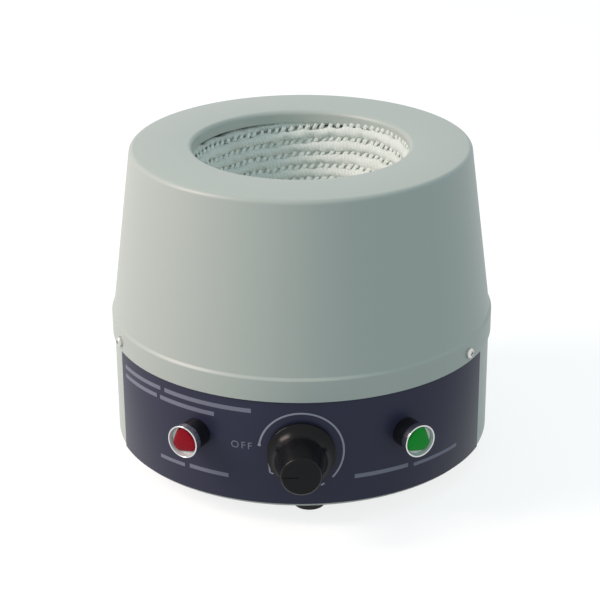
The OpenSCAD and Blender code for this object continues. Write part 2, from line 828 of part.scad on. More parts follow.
module circuit_board() {
    color([0.15, 0.40, 0.25]) difference() {
        translate([-board_l / 2, board_y - board_w / 2, board_z]) cube([board_l, board_w, board_t]);
        board_corners() translate([0, 0, board_z - 1]) cylinder(r = plain_hole_r, h = board_t + 2);
    }
}

// Posts between the floor and the board, threaded from both ends
module board_posts() {
    color([0.80, 0.66, 0.36]) board_corners() translate([0, 0, floor_top])
        hex_nut(post_r, post_h, screw_r + thread_gap);
}

module board_screws() {
    grip = post_h / 2 - 0.5;
    color(steel) board_corners() {
        translate([0, 0, board_top]) pan_screw(screw_r, screw_head_r, screw_head_h, board_t + grip);
        translate([0, 0, floor_z]) rotate([180, 0, 0])
            pan_screw(screw_r, screw_head_r, screw_head_h, base_wall + grip);
    }
}

sink_l = 34;
sink_t = 2.5;
sink_h = 26;
sink_x = -38;
sink_y = board_y - 6;
fin_count = 6;
fin_d = 9;
fin_t = 1.4;

// Finned heat sink that stands on the board
module heat_sink() {
    color([0.66, 0.67, 0.69]) translate([sink_x, sink_y, board_top]) {
        cube([sink_l, sink_t, sink_h]);
        for (i = [0:fin_count - 1])
            translate([i * (sink_l - fin_t) / (fin_count - 1), sink_t, 0]) cube([fin_t, fin_d, sink_h]);
    }
}

// Power switch of the control, flat against the heat sink
module triac() {
    translate([sink_x + sink_l / 2, sink_y, board_top]) {
        color(steel) translate([-5, -1.3, 4]) cube([10, 1.3, 15.5]);
        color(black) translate([-5, -4.5, 4]) cube([10, 3.2, 9.2]);
        color(steel) for (i = [-1:1]) translate([i * 2.5 - 0.4, -3.2, 0]) cube([0.8, 0.6, 5]);
    }
}

choke_r = 7;
choke_wire_r = 3.5;

// Ring choke lying on the board
module choke() {
    color(copper) translate([26, board_y + 1, board_top + choke_wire_r])
        rotate_extrude() translate([choke_r, 0]) circle(r = choke_wire_r, $fn = 48);
}

capacitor_l = 14;
capacitor_w = 8;
capacitor_x = 8;
capacitor_inset = 3;

// Suppression capacitor
module capacitor() {
    color([0.85, 0.68, 0.20])
        translate([capacitor_x, board_y - board_w / 2 + capacitor_inset, board_top])
            cube([capacitor_l, capacitor_w, capacitor_l]);
}

fuse_l = 20;
fuse_r = 2.6;
fuse_inset = 9;
fuse_place = [-12, board_y - board_w / 2 + fuse_inset, board_top + 5];

module fuse() {
    color([0.85, 0.85, 0.85]) translate(fuse_place) rotate([0, 90, 0])
        cylinder(r = fuse_r, h = fuse_l, center = true, $fn = 48);
}

// Spring clips that hold the fuse's end caps
module fuse_clips() {
    color([0.80, 0.66, 0.36]) for (end = [-1, 1]) translate(fuse_place)
        translate([end * (fuse_l / 2 - 2.6), 0, 0]) difference() {
            translate([-1.8, -3.4, board_top - fuse_place[2]]) cube([3.6, 6.8, 6.5]);
            rotate([0, 90, 0]) cylinder(r = fuse_r + seat_gap, h = 10, center = true, $fn = 48);
            translate([-5, -fuse_r - seat_gap, 0]) cube([10, 2 * (fuse_r + seat_gap), 10]);
        }
}

block_l = 36;
block_w = 9;
block_h = 12;

// Screw terminals for the element and the supply
module terminal_block() {
    color([0.20, 0.42, 0.30]) translate([-block_l / 2, lead_y - block_w / 2, board_top]) difference() {
        cube([block_l, block_w, block_h]);
        for (i = [0:3])
            translate([block_l / 8 * (2 * i + 1), block_w / 2, 3]) rotate([-90, 0, 0])
                cylinder(r = 1.8, h = block_w, $fn = 24);
    }
}

// Sleeved leads from the bowl's element down to the terminals
module element_leads() {
    reach = norm([lead_x, lead_y]) - lead_r;
    lead_top = bowl_z - sqrt(bowl_out_r * bowl_out_r - reach * reach) - seat_gap;
    lead_foot = board_top + block_h;
    color([0.88, 0.86, 0.78]) for (side = [-1, 1])
        translate([side * lead_x, lead_y, lead_foot])
            cylinder(r = lead_r, h = lead_top - lead_foot, $fn = 48);
}

core_r = 0.8;
lamp_lead_l = 14;
lamp_lead_x = 27;
lamp_lead_sag = 3;
dial_lead_l = 30;

// Two leads from each lamp to the board
module lamp_leads() {
    start_r = panel_r + lamp_web_z - lamp_web_t;
    out = [for (side = [-1, 1]) [side * sin(lamp_bearing), -cos(lamp_bearing), 0]];
    color([0.75, 0.12, 0.10]) for (k = [0, 1]) for (core = [-1, 1]) {
        across = [cos(lamp_bearing), (k * 2 - 1) * sin(lamp_bearing), 0] * core * 2;
        side = k * 2 - 1;
        wire([out[k] * start_r + across + [0, 0, lamp_z],
            out[k] * (start_r - lamp_lead_l) + across + [0, 0, lamp_z],
            [side * (lamp_lead_x + lamp_lead_sag) + core * 2, board_y - board_w / 2 - 12, board_top + 6],
            [side * lamp_lead_x + core * 2, board_y - board_w / 2 + 8, board_top + core_r]], core_r);
    }
}

// Three leads from the dial's tags to the board
module dial_leads() {
    tag_y = -(panel_r + tag_z);
    tag_foot = dial_z - control_r - tag_l;
    color([0.20, 0.30, 0.65]) for (i = [-1:1])
        wire([[i * tag_pitch, tag_y, tag_foot - core_r],
            [i * tag_pitch, tag_y + dial_lead_l, board_top + 4],
            [i * tag_pitch, board_y - board_w / 2 + 3, board_top + core_r]], core_r);
}

red = [0.75, 0.02, 0.10];
green = [0.02, 0.55, 0.15];

cover();
base_pan();
control_panel();
heating_bowl();
insulation();
inner_pan();
support_leg(leg_bearings[0]);  // support_leg_1
support_leg(leg_bearings[1]);  // support_leg_2
support_leg(leg_bearings[2]);  // support_leg_3
support_leg(leg_bearings[3]);  // support_leg_4
leg_screws();
leg_nuts();
foot(foot_bearings[0]);  // foot_1
foot(foot_bearings[1]);  // foot_2
foot(foot_bearings[2]);  // foot_3
foot_screws();
foot_nuts();
cover_screws();
cover_nuts();
knob();
knob_screw();
dial_shaft();
dial_bush();
dial_case();
dial_tags();
dial_washer();
dial_nut();
lamp_body(-1);  // red_lamp_body
lamp_bezel(-1);  // red_lamp_bezel
lamp_lens(-1, red);  // red_lamp_lens
lamp_bulb(-1);  // red_lamp_bulb
lamp_nut(-1);  // red_lamp_nut
lamp_body(1);  // green_lamp_body
lamp_bezel(1);  // green_lamp_bezel
lamp_lens(1, green);  // green_lamp_lens
lamp_bulb(1);  // green_lamp_bulb
lamp_nut(1);  // green_lamp_nut
gland_body();
gland_cap();
gland_seal();
gland_nut();
earth_screw();
circuit_board();
board_posts();
board_screws();
heat_sink();
triac();
choke();
capacitor();
fuse();
fuse_clips();
terminal_block();
lead_bushes();
element_leads();
lamp_leads();
dial_leads();
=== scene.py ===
# %% [markdown]
# # Dressing a laboratory heating mantle
#
# A heating mantle is a round electric heater for a round-bottomed flask. The flask sits in a bowl that is woven
# from glass-fibre rope with heating wire inside. A painted steel shell stands round the bowl, and a dark panel
# on the front carries a dial and two lamps.
#
# The solid model of the mantle is loaded first. It fixes the size and place of every hard part. Only soft things,
# such as how the bowl hangs, are given here. This lesson then gives each solid its finish, and swaps the
# ones that show most for finer pieces.

# %% Load the solid model
import json
import math
import random

import bmesh
import bpy
from mathutils import Matrix, Quaternion, Vector, noise


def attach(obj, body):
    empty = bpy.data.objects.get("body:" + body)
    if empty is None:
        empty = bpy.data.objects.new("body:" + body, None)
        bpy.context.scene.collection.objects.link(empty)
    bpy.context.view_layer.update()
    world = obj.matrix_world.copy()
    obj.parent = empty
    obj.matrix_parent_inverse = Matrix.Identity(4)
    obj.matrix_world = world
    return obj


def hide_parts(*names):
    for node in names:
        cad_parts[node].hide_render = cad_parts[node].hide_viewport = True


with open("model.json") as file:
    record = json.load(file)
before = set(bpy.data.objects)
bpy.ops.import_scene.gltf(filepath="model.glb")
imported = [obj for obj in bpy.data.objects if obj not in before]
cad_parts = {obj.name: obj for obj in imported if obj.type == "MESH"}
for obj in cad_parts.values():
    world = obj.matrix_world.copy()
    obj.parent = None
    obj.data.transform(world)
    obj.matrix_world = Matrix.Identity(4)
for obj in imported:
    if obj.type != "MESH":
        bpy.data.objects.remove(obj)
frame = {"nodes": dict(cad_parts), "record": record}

MM = 0.001
FULL_TURN = math.tau
QUARTER_TURN = math.radians(90)
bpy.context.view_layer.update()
nodes = frame["nodes"]
scene = bpy.context.scene

# %% [markdown]
# ## The camera
#
# A long lens from slightly above shows the front panel, the cone and a little of the bowl. The picture is square,
# so the sensor is fitted across its width. A camera could be turned by three angles, but one that is aimed at
# a point keeps the object in the middle when it is moved. It looks down its own -Z axis, which is why the track
# quaternion names that axis, and a small roll about the same axis levels the picture.

# %% Camera
CAMERA_PLACE = Vector((5.335, -887.54, 455.76)) * MM
CAMERA_AIM = Vector((-0.861, 0, 80.28)) * MM
CAMERA_ROLL = math.radians(-0.369)
SENSOR_MM = 36
LENS_MM = 109.12

camera_data = bpy.data.cameras.new("camera")
camera_data.sensor_width = SENSOR_MM
camera_data.sensor_fit = "HORIZONTAL"
camera_data.lens = LENS_MM
camera = bpy.data.objects.new("camera", camera_data)
scene.collection.objects.link(camera)
camera.location = CAMERA_PLACE
camera.rotation_mode = "QUATERNION"
level = (CAMERA_AIM - CAMERA_PLACE).to_track_quat("-Z", "Y")
camera.rotation_quaternion = level @ Quaternion((0, 0, 1), CAMERA_ROLL)
scene.camera = camera
print("camera is", round((CAMERA_AIM - CAMERA_PLACE).length, 3), "m from its aim")

# %% [markdown]
# ## Building node trees
#
# The surroundings, the floor and every material are trees of nodes. They could be wired one line at a time, but
# a tree is read more easily when a node's settings and inputs stand together. So one helper makes a node, sets
# it up, and fills each input with a number, a colour or the output of another node.

# %% Helpers for node trees
def add_node(tree, kind, inputs=None, **settings):
    """A new node with its settings, and its inputs filled with plain values or linked to other sockets."""
    node = tree.nodes.new("ShaderNode" + kind)
    for key, value in settings.items():
        setattr(node, key, value)
    for slot, value in (inputs or {}).items():
        if isinstance(value, bpy.types.NodeSocket):
            tree.links.new(value, node.inputs[slot])
        else:
            node.inputs[slot].default_value = value
    return node


def math_node(tree, operation, *values):
    """The result of a Math node on sockets or numbers."""
    return add_node(tree, "Math", dict(enumerate(values)), operation=operation).outputs[0]


def seen_directly(tree):
    """A value that is 1 for camera, mirror and glass rays, and 0 for the light on things."""
    path = add_node(tree, "LightPath").outputs
    mirrored = math_node(tree, "MAXIMUM", path["Is Camera Ray"], path["Is Glossy Ray"])
    return math_node(tree, "MAXIMUM", mirrored, path["Is Transmission Ray"])


print("node helpers:", add_node.__name__, math_node.__name__, seen_directly.__name__)

# %% [markdown]
# ## Light
#
# The mantle is lit by one large soft lamp on the left and by pale surroundings. The lamp gives the cone its slow
# change from bright to grey, and the surroundings keep the far side from going black. More lamps could do this
# too, but two sources are enough and easy to balance. The levels are plain: a surface that faces up shows about
# the colour that its material is given.
#
# A world is seen in three ways: straight from the camera, in mirrors and glass, and as light on things. Only the
# last one is dimmed here, so the background stays white without more light on the object.

# %% World
SURROUND_LEVEL = 0.65
SURROUND_TINT = (0.76, 0.95, 1.0, 1.0)
WHITE = (1, 1, 1, 1)

scene.view_settings.view_transform = "Standard"
world = bpy.data.worlds.new("pale surroundings")
scene.world = world
world.use_nodes = True
world_tree = world.node_tree
world_tree.nodes.clear()
soft = add_node(world_tree, "Background", {"Color": SURROUND_TINT, "Strength": SURROUND_LEVEL})
white = add_node(world_tree, "Background", {"Color": WHITE, "Strength": 1.0})
either = add_node(world_tree, "MixShader", {0: seen_directly(world_tree), 1: soft.outputs[0], 2: white.outputs[0]})
add_node(world_tree, "OutputWorld", {"Surface": either.outputs[0]})
print("surroundings light the object at", SURROUND_LEVEL)

# %% Soft lamp on the left
KEY_BEARING = math.radians(-80)
KEY_HEIGHT = math.radians(36)
KEY_DISTANCE = 1.8
KEY_WIDTH = 0.55
KEY_TALL = 0.9
KEY_LEVEL = 2.55
KEY_TINT = (1.0, 0.81, 0.74)
KEY_AIM = Vector((0, 0, 100 * MM))

key_data = bpy.data.lights.new("key lamp", "AREA")
key_data.shape = "RECTANGLE"
key_data.size = KEY_WIDTH
key_data.size_y = KEY_TALL
key_data.energy = KEY_LEVEL * math.pi * KEY_DISTANCE * KEY_DISTANCE
key_data.color = KEY_TINT
key_lamp = bpy.data.objects.new("key lamp", key_data)
outwards = math.cos(KEY_HEIGHT)
towards = Vector((outwards * math.sin(KEY_BEARING), -outwards * math.cos(KEY_BEARING), math.sin(KEY_HEIGHT)))
key_lamp.location = KEY_AIM + towards * KEY_DISTANCE
key_lamp.rotation_mode = "QUATERNION"
key_lamp.rotation_quaternion = (-towards).to_track_quat("-Z", "Y")
scene.collection.objects.link(key_lamp)
print("key lamp power", round(key_data.energy, 1), "W")

# %% [markdown]
# ## A node group for small unevenness
#
# No real surface is quite even: paint has a fine ripple, plastic a fine grain, metal faint streaks. Each material
# could have noise nodes of its own, but then every change would have to be made in all of them. One group does
# it for all, from noise in object coordinates, so that it keeps its real scale in millimetres on each piece. The
# group gives out a colour, a roughness and a normal, and the shader itself stays in the material.

# %% Making a group
def new_group(name, inputs, outputs, build):
    """A shader node group with named sockets; build fills it and says what each output gets."""
    group = bpy.data.node_groups.new(name, "ShaderNodeTree")
    for label, (kind, value) in inputs.items():
        socket = group.interface.new_socket(label, in_out="INPUT", socket_type="NodeSocket" + kind)
        socket.default_value = value
    for label, kind in outputs.items():
        group.interface.new_socket(label, in_out="OUTPUT", socket_type="NodeSocket" + kind)
    start = group.nodes.new("NodeGroupInput")
    end = group.nodes.new("NodeGroupOutput")
    for label, socket in build(group, start.outputs).items():
        group.links.new(socket, end.inputs[label])
    print(name, "group has", len(group.nodes), "nodes")
    return group


def relief_normal(group, relief, height):
    """The normal of a relief whose depth is given in mm."""
    depth = math_node(group, "MULTIPLY", relief, MM)
    return add_node(group, "Bump", {"Strength": 1.0, "Distance": depth, "Height": height}).outputs["Normal"]


# %% The grain group
GREY = (0.5, 0.5, 0.5, 1)
PATCH_SCALE = 22
FINE_SHARE = 0.4


def build_grain(group, source):
    """Noise at two scales: the wide one shifts tone and gloss, the fine one makes relief."""
    place = add_node(group, "TexCoord").outputs["Object"]
    stretched = add_node(group, "VectorMath", {0: place, 1: source["Stretch"]}, operation="MULTIPLY")
    per_metre = math_node(group, "DIVIDE", 1 / MM, source["Grain Size"])
    fine = add_node(group, "TexNoise", {"Vector": stretched.outputs[0], "Scale": per_metre, "Detail": 3})
    wide = add_node(group, "TexNoise", {"Vector": place, "Scale": PATCH_SCALE, "Detail": 2})
    both = math_node(group, "ADD", math_node(group, "MULTIPLY", fine.outputs["Fac"], FINE_SHARE),
                     math_node(group, "MULTIPLY", wide.outputs["Fac"], 1 - FINE_SHARE))
    centred = math_node(group, "SUBTRACT", both, 0.5)
    lift = math_node(group, "MULTIPLY_ADD", centred, source["Tone Spread"], 1.0)
    shade = add_node(group, "VectorMath", {0: source["Tone"], "Scale": lift}, operation="SCALE")
    gloss = math_node(group, "MULTIPLY_ADD", centred, source["Roughness Spread"], source["Roughness"])
    return {"Color": shade.outputs[0], "Roughness": gloss,
            "Normal": relief_normal(group, source["Relief"], fine.outputs["Fac"])}


grain_group = new_group(
    "grain",
    {"Tone": ("Color", GREY), "Tone Spread": ("Float", 0.05), "Grain Size": ("Float", 1.0),
     "Stretch": ("Vector", (1, 1, 1)), "Roughness": ("Float", 0.5), "Roughness Spread": ("Float", 0.05),
     "Relief": ("Float", 0.02)},
    {"Color": "Color", "Roughness": "Float", "Normal": "Vector"}, build_grain)

# %% [markdown]
# ## The plain finishes
#
# A finish is one material: a Principled shader fed by the grain group. Values that are the same all over a
# surface, such as how metallic it is, are set on the shader itself. A colour is written as it is seen on a screen
# and turned into the linear value that the shader wants.
#
# Paint, rubber and metal could each be built in their own way. Here they differ only in their numbers, so they
# stand in one table, where they can be compared: name, colour, roughness, spread of the tone, size of the grain
# and depth of the relief in mm, and what else the material needs.

# %% Finish helpers
ROUGH_SPREAD = 0.1


def screen(red, green, blue):
    """A colour as linear light, from its 0-255 screen values."""
    def linear(value):
        part = value / 255
        return part / 12.92 if part <= 0.04045 else ((part + 0.055) / 1.055) ** 2.4
    return linear(red), linear(green), linear(blue), 1.0


def group_material(name, group, values, **shader):
    """A material whose shader is fed by a node group, with plain values set on the shader itself."""
    material = bpy.data.materials.new(name)
    material.use_nodes = True
    tree = material.node_tree
    principled = tree.nodes["Principled BSDF"]
    for output in add_node(tree, "Group", values, node_tree=group).outputs:
        tree.links.new(output, principled.inputs["Base Color" if output.name == "Color" else output.name])
    for key, value in shader.items():
        principled.inputs[key.replace("_", " ")].default_value = value
    return material


def finish(name, tone, rough, spread, size, relief, stretch=(1, 1, 1), **shader):
    """A material whose tone, gloss and normal come from the grain group."""
    return group_material(name, grain_group, {
        "Tone": screen(*tone), "Tone Spread": spread, "Grain Size": size, "Stretch": stretch,
        "Roughness": rough, "Roughness Spread": ROUGH_SPREAD, "Relief": relief}, **shader)


print("a screen grey of 188 is", round(screen(188, 188, 188)[0], 3), "in linear light")

# %% Paints, plastics, metals and the rest
METAL = {"Metallic": 1.0}
CLEAR = {"Transmission_Weight": 0.9}
PLAIN_FINISHES = {
    "cover_paint": ("shell paint", (173, 180, 174), 0.42, 0.03, 0.9, 0.012, {}),
    "panel_film": ("panel film", (44, 45, 66), 0.40, 0.10, 0.35, 0.006, {"Specular_IOR_Level": 0.22}),
    "ceramic_wool": ("ceramic wool", (232, 228, 214), 0.95, 0.25, 1.6, 0.8, {"Sheen_Weight": 0.3}),
    "pan_metal": ("spun aluminium", (196, 198, 200), 0.32, 0.08, 0.5, 0.01, {"stretch": (1, 1, 6), **METAL}),
    "zinc_steel": ("zinc plate", (206, 206, 202), 0.30, 0.15, 0.5, 0.01, METAL),
    "foot_rubber": ("foot rubber", (26, 26, 28), 0.72, 0.30, 0.4, 0.03, {}),
    "seal_rubber": ("seal rubber", (30, 30, 31), 0.65, 0.25, 0.4, 0.02, {}),
    "knob_black": ("knob plastic", (20, 20, 22), 0.24, 0.20, 0.5, 0.002, {"Specular_IOR_Level": 0.14}),
    "lamp_black": ("lamp plastic", (24, 24, 28), 0.24, 0.20, 0.5, 0.002, {"Specular_IOR_Level": 0.35}),
    "gland_black": ("gland nylon", (34, 34, 36), 0.45, 0.20, 0.4, 0.012, {}),
    "bezel_chrome": ("bezel chrome", (214, 216, 218), 0.20, 0.06, 0.6, 0.001, METAL),
    "red_lens": ("red lens", (142, 0, 24), 0.20, 0.15, 1.2, 0.004, {"Specular_IOR_Level": 0.12}),
    "green_lens": ("green lens", (0, 150, 44), 0.20, 0.15, 1.2, 0.004, {"Specular_IOR_Level": 0.12}),
    "bulb_glass": ("bulb glass", (240, 220, 200), 0.05, 0.05, 2.0, 0.0, CLEAR),
    "brass_parts": ("turned brass", (214, 182, 110), 0.28, 0.12, 0.3, 0.01, {"stretch": (1, 1, 8), **METAL}),
    "board_green": ("board lacquer", (28, 92, 58), 0.30, 0.25, 2.5, 0.02, {}),
    "sink_metal": ("drawn aluminium", (186, 189, 193), 0.36, 0.10, 0.3, 0.01, {"stretch": (8, 8, 1), **METAL}),
    "triac_black": ("moulding compound", (40, 40, 41), 0.60, 0.20, 0.2, 0.01, {}),
    "choke_copper": ("enamelled copper", (170, 92, 52), 0.25, 0.20, 0.5, 0.05, METAL),
    "capacitor_yellow": ("capacitor case", (214, 160, 46), 0.30, 0.10, 0.6, 0.01, {}),
    "fuse_glass": ("fuse glass", (225, 230, 232), 0.06, 0.05, 2.0, 0.0, CLEAR),
    "terminal_green": ("terminal moulding", (52, 112, 84), 0.42, 0.12, 0.3, 0.01, {}),
    "bush_ceramic": ("glazed ceramic", (232, 230, 220), 0.25, 0.06, 0.8, 0.01, {}),
    "lead_sleeve": ("glass sleeve", (222, 216, 196), 0.85, 0.20, 0.4, 0.08, {"stretch": (1, 1, 0.3)}),
    "lead_red": ("red wire cover", (160, 24, 22), 0.35, 0.10, 0.5, 0.005, {}),
    "lead_blue": ("blue wire cover", (40, 66, 150), 0.35, 0.10, 0.5, 0.005, {}),
}
finishes = {slot: finish(*row, **more) for slot, (*row, more) in PLAIN_FINISHES.items()}
print("plain finishes:", len(finishes))

# %% [markdown]
# ## Woven glass
#
# The bowl is laid up in rows of heating rope, held by slanted stitches of glass yarn. Seen close, a rope is a
# sleeve of fine yarn that winds round at a slant. Fibres could be modelled one by one, but there are far too
# many, and noise in object coordinates would not follow the rope. So these pieces get a UV map whose U counts
# the stitches along a row and whose V goes round the rope, and the group draws the yarn as slanted waves over it,
# with shade painted into the hollows between the yarns.

# %% The yarn group
FIBRE_SCALE = 900
FIBRE_RELIEF = 0.7
BLOTCH_SCALE = 90
WANDER = 0.6
HOLLOW_SHADE = 0.35
BLOTCH_TONE = 0.9


def build_yarn(group, source):
    """Slanted waves for the yarn, broken up by fibre noise; shade is painted into the hollows between the yarns."""
    wrap = add_node(group, "SeparateXYZ", {0: add_node(group, "UVMap").outputs["UV"]}).outputs
    place = add_node(group, "TexCoord").outputs["Object"]
    fibre = add_node(group, "TexNoise", {"Vector": place, "Scale": FIBRE_SCALE, "Detail": 4}).outputs["Fac"]
    blotch = add_node(group, "TexNoise", {"Vector": place, "Scale": BLOTCH_SCALE}).outputs["Fac"]
    slanted = math_node(group, "MULTIPLY_ADD", wrap["Y"], source["Slant"], wrap["X"])
    wander = math_node(group, "MULTIPLY_ADD", blotch, WANDER, slanted)
    phase = math_node(group, "MULTIPLY", math_node(group, "MULTIPLY", wander, source["Strands"]), FULL_TURN)
    wave = math_node(group, "MULTIPLY_ADD", math_node(group, "SINE", phase), 0.5, 0.5)
    height = math_node(group, "MULTIPLY_ADD", fibre, FIBRE_RELIEF, wave)
    # The wave paints shade into the hollows between the yarns, and the blotches vary the tone at random.
    tone = math_node(group, "MULTIPLY_ADD", wave, HOLLOW_SHADE, math_node(group, "MULTIPLY", blotch, BLOTCH_TONE))
    blend = add_node(group, "Mix", {"Factor": tone, 6: source["Dark Tone"], 7: source["Tone"]},
                     data_type="RGBA", clamp_factor=True)
    return {"Color": blend.outputs[2], "Normal": relief_normal(group, source["Relief"], height)}


yarn_group = new_group(
    "slanted yarn",
    {"Tone": ("Color", GREY), "Dark Tone": ("Color", GREY), "Strands": ("Float", 3.0), "Slant": ("Float", 1.0),
     "Relief": ("Float", 0.15)},
    {"Color": "Color", "Normal": "Vector"}, build_yarn)


# %% Rope, stitch yarn and cloth
def yarn_finish(name, tone, dark, strands, slant, relief):
    """A matt glass-yarn material; its sheen is the fuzz of broken fibres."""
    return group_material(name, yarn_group, {
        "Tone": screen(*tone), "Dark Tone": screen(*dark), "Strands": strands, "Slant": slant, "Relief": relief},
        Roughness=0.85, Specular_IOR_Level=0.3, Sheen_Weight=0.25)


# The second colour is the painted shade in the yarn's hollows, and the random blotches also reach towards it.
rope_finish = yarn_finish("heating rope", (221, 226, 221), (199, 204, 198), 2.0, 1.6, 0.09)
stitch_finish = yarn_finish("stitch yarn", (238, 242, 238), (226, 230, 224), 1.0, 3.0, 0.05)
cloth_finish = yarn_finish("glass cloth", (230, 234, 228), (209, 213, 205), 3.0, 2.0, 0.12)
finishes["woven_glass"] = rope_finish
print("woven finishes: rope, stitch, cloth")

# %% [markdown]
# ## A finish for every solid
#
# The mantle has many small parts inside, from screws to wires, which show when it is opened. They could be
# finished one by one, but the solid model already names a material slot for each solid. Looking the finish up
# by that slot leaves no solid out.

# %% Give every solid its finish
slot_of = {part["node"]: part["material_slot"] for part in frame["record"]["subparts"]}
for node_name, node in nodes.items():
    node.data.materials.clear()
    node.data.materials.append(finishes[slot_of[node_name]])
print("finished", len(slot_of), "solids")

# %% [markdown]
# ## Making a piece
#
# A new piece is a bmesh until its shape is right. Then it becomes an object at the origin, with its place in
# its mesh. It gets its material, it rides on the body that it moves with, and the solids that it stands for are
# hidden. Edges sharper than an angle stay crisp, and the others are smooth.
#
# Most pieces of a mantle are round. They could start as cylinders and rings, but an outline that is spun about
# an axis holds all steps and roundings at once, with the numbers that a drawing for a lathe would give.

# %% Keeping a piece
CRISP_ANGLE = math.radians(38)


def keep_piece(name, mesh_edit, material, body="housing", stands_for=(), turn_out=True, crisp=CRISP_ANGLE):
    """Turns a bmesh into a piece that rides on a body."""
    if turn_out:
        bmesh.ops.recalc_face_normals(mesh_edit, faces=mesh_edit.faces[:])
    mesh = bpy.data.meshes.new(name)
    mesh_edit.to_mesh(mesh)
    mesh_edit.free()
    mesh.materials.append(material)
    for face in mesh.polygons:
        face.use_smooth = True
    mesh.set_sharp_from_angle(angle=crisp)
    piece = bpy.data.objects.new(name, mesh)
    scene.collection.objects.link(piece)
    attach(piece, body)
    if stands_for:
        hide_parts(*stands_for)
    print(f"{name}: {len(mesh.polygons)} faces")


print("edges over", round(math.degrees(CRISP_ANGLE)), "degrees stay crisp")


# %% Turning and moving in mm
def turned(mesh_edit, angle, axis, verts=None):
    """Turns all vertices, or the given ones, about an axis through the origin."""
    bmesh.ops.rotate(mesh_edit, cent=(0, 0, 0), matrix=Matrix.Rotation(angle, 3, axis),
                     verts=verts or mesh_edit.verts[:])


def moved(mesh_edit, x, y, z, verts=None):
    """Moves all vertices, or the given ones, by a distance in mm."""
    bmesh.ops.translate(mesh_edit, vec=(x * MM, y * MM, z * MM), verts=verts or mesh_edit.verts[:])


print("one step of a move is", MM, "m")

# %% Rounded outlines, and spinning them
WELD_MM = 0.002


def section(corners, closed=False, segments=5):
    """A bmesh with one outline of (radius, height, rounding) in mm, drawn in the XZ plane, its corners rounded."""
    outline = bmesh.new()
    points = [outline.verts.new((x * MM, 0, z * MM)) for x, z, _ in corners]
    pairs = list(zip(points, points[1:])) + ([(points[-1], points[0])] if closed else [])
    for pair in pairs:
        outline.edges.new(pair)
    places = [Vector((x, 0, z)) * MM for x, z, _ in corners]
    for index, (_, _, rounding) in enumerate(corners):
        if rounding <= 0:
            continue
        back = (places[index - 1] - places[index]).normalized()
        ahead = (places[(index + 1) % len(places)] - places[index]).normalized()
        half = math.acos(max(-1, min(1, back.dot(ahead)))) / 2
        bmesh.ops.bevel(outline, geom=[points[index]], offset=rounding * MM / math.tan(half),
                        offset_type="OFFSET", segments=segments, profile=0.5, affect="VERTICES", material=-1)
    return outline


def spin_round(outline, steps):
    """Spins an outline about the Z axis and closes what meets."""
    bmesh.ops.spin(outline, geom=outline.verts[:] + outline.edges[:], cent=(0, 0, 0), axis=(0, 0, 1),
                   dvec=(0, 0, 0), angle=FULL_TURN, steps=steps, use_merge=True, use_normal_flip=False,
                   use_duplicate=False)
    bmesh.ops.remove_doubles(outline, verts=outline.verts[:], dist=WELD_MM * MM)
    bmesh.ops.recalc_face_normals(outline, faces=outline.faces[:])
    return outline


print("points closer than", WELD_MM, "mm are welded")

# %% [markdown]
# ## The painted shell
#
# The cover is spun from sheet steel: a straight skirt, a small step in, a cone, a flat top, and a collar turned
# down into the flask opening. It could be built up from a cylinder, a cone and a ring, but one outline of six
# corners holds all of it. Bevelling the corners before the spin gives each bend its real radius, and the sheet's
# wall is added last, towards the inside.

# %% Sizes of the shell, in mm
TOP_Z = 167.6
SKIRT_Z = 68.7
STEP_Z = 80.0
COVER_R = 100.0
STEP_IN = 1.2
TOP_R = 87.6
OPENING_R = 55.6
COLLAR = 6.5
SHEET = 1.0
SHELL_STEPS = 240
print("the cover is", 2 * COVER_R, "mm across and", round(TOP_Z - SKIRT_Z, 1), "mm tall")

# %% Cover
cover_edit = spin_round(section([
    (COVER_R, SKIRT_Z, 0), (COVER_R, STEP_Z, 0.8), (COVER_R - STEP_IN, STEP_Z + STEP_IN, 0.8),
    (TOP_R, TOP_Z, 2.6), (OPENING_R, TOP_Z, 2.4), (OPENING_R, TOP_Z - COLLAR, 0)], segments=6), SHELL_STEPS)
if sum(face.normal.z for face in cover_edit.faces) < 0:   # the top has to face up, so the wall goes inside
    bmesh.ops.reverse_faces(cover_edit, faces=cover_edit.faces[:])
bmesh.ops.solidify(cover_edit, geom=cover_edit.faces[:], thickness=SHEET * MM)
keep_piece("cover_shell", cover_edit, finishes["cover_paint"], stands_for=["cover"])

# %% [markdown]
# ## The heating bowl
#
# The bowl hangs under the collar. It has twelve rows of heating rope, one below the other, each held to the
# next by slanted stitches, with small dark openings between the stitches. A picture of a weave on a smooth bowl
# would be quick, but it could not catch the light like this, so each rope is a spun ring of its own.
#
# Such a bowl is laid in by hand and never sits quite level. Here its left side hangs a few millimetres lower
# than its right side, which opens a thin dark gap under the collar.

# %% Sizes of the bowl, in mm
BOWL_Z = 159.7
GROOVE_R = 55.9
BACK_R = 58.2
ROWS = 12
ROW_PITCH = 90 / ROWS
STITCH_PITCH = 4.25


def stitches_in(depth):
    """Number of stitches in a row at a depth in degrees below the rim."""
    return max(8, round(FULL_TURN * GROOVE_R * math.cos(math.radians(depth)) / STITCH_PITCH))


print("stitches in the top row:", stitches_in(0))

# %% How the bowl hangs
HANG_TILT, HANG_TILT_AT = 4.0, 0.09
HANG_WAVE, HANG_WAVE_AT = 0.9, 2.27
HANG_DROP = 1.5
HANG_FADE = 70


def settle(point):
    """Lets the bowl hang lower on the left and stand a little higher on the right."""
    below = max(0.0, (BOWL_Z * MM - point.z) / (HANG_FADE * MM))
    around = math.atan2(point.y, point.x)
    tilt = HANG_TILT * math.cos(around - HANG_TILT_AT)
    wave = HANG_WAVE * math.cos(3 * around - HANG_WAVE_AT)
    point.z += (tilt + wave - HANG_DROP) * MM * max(0.0, 1 - below)


left_rim = Vector((-GROOVE_R, 0, BOWL_Z)) * MM
settle(left_rim)
print("the left side hangs", round(BOWL_Z - left_rim.z / MM, 1), "mm low")


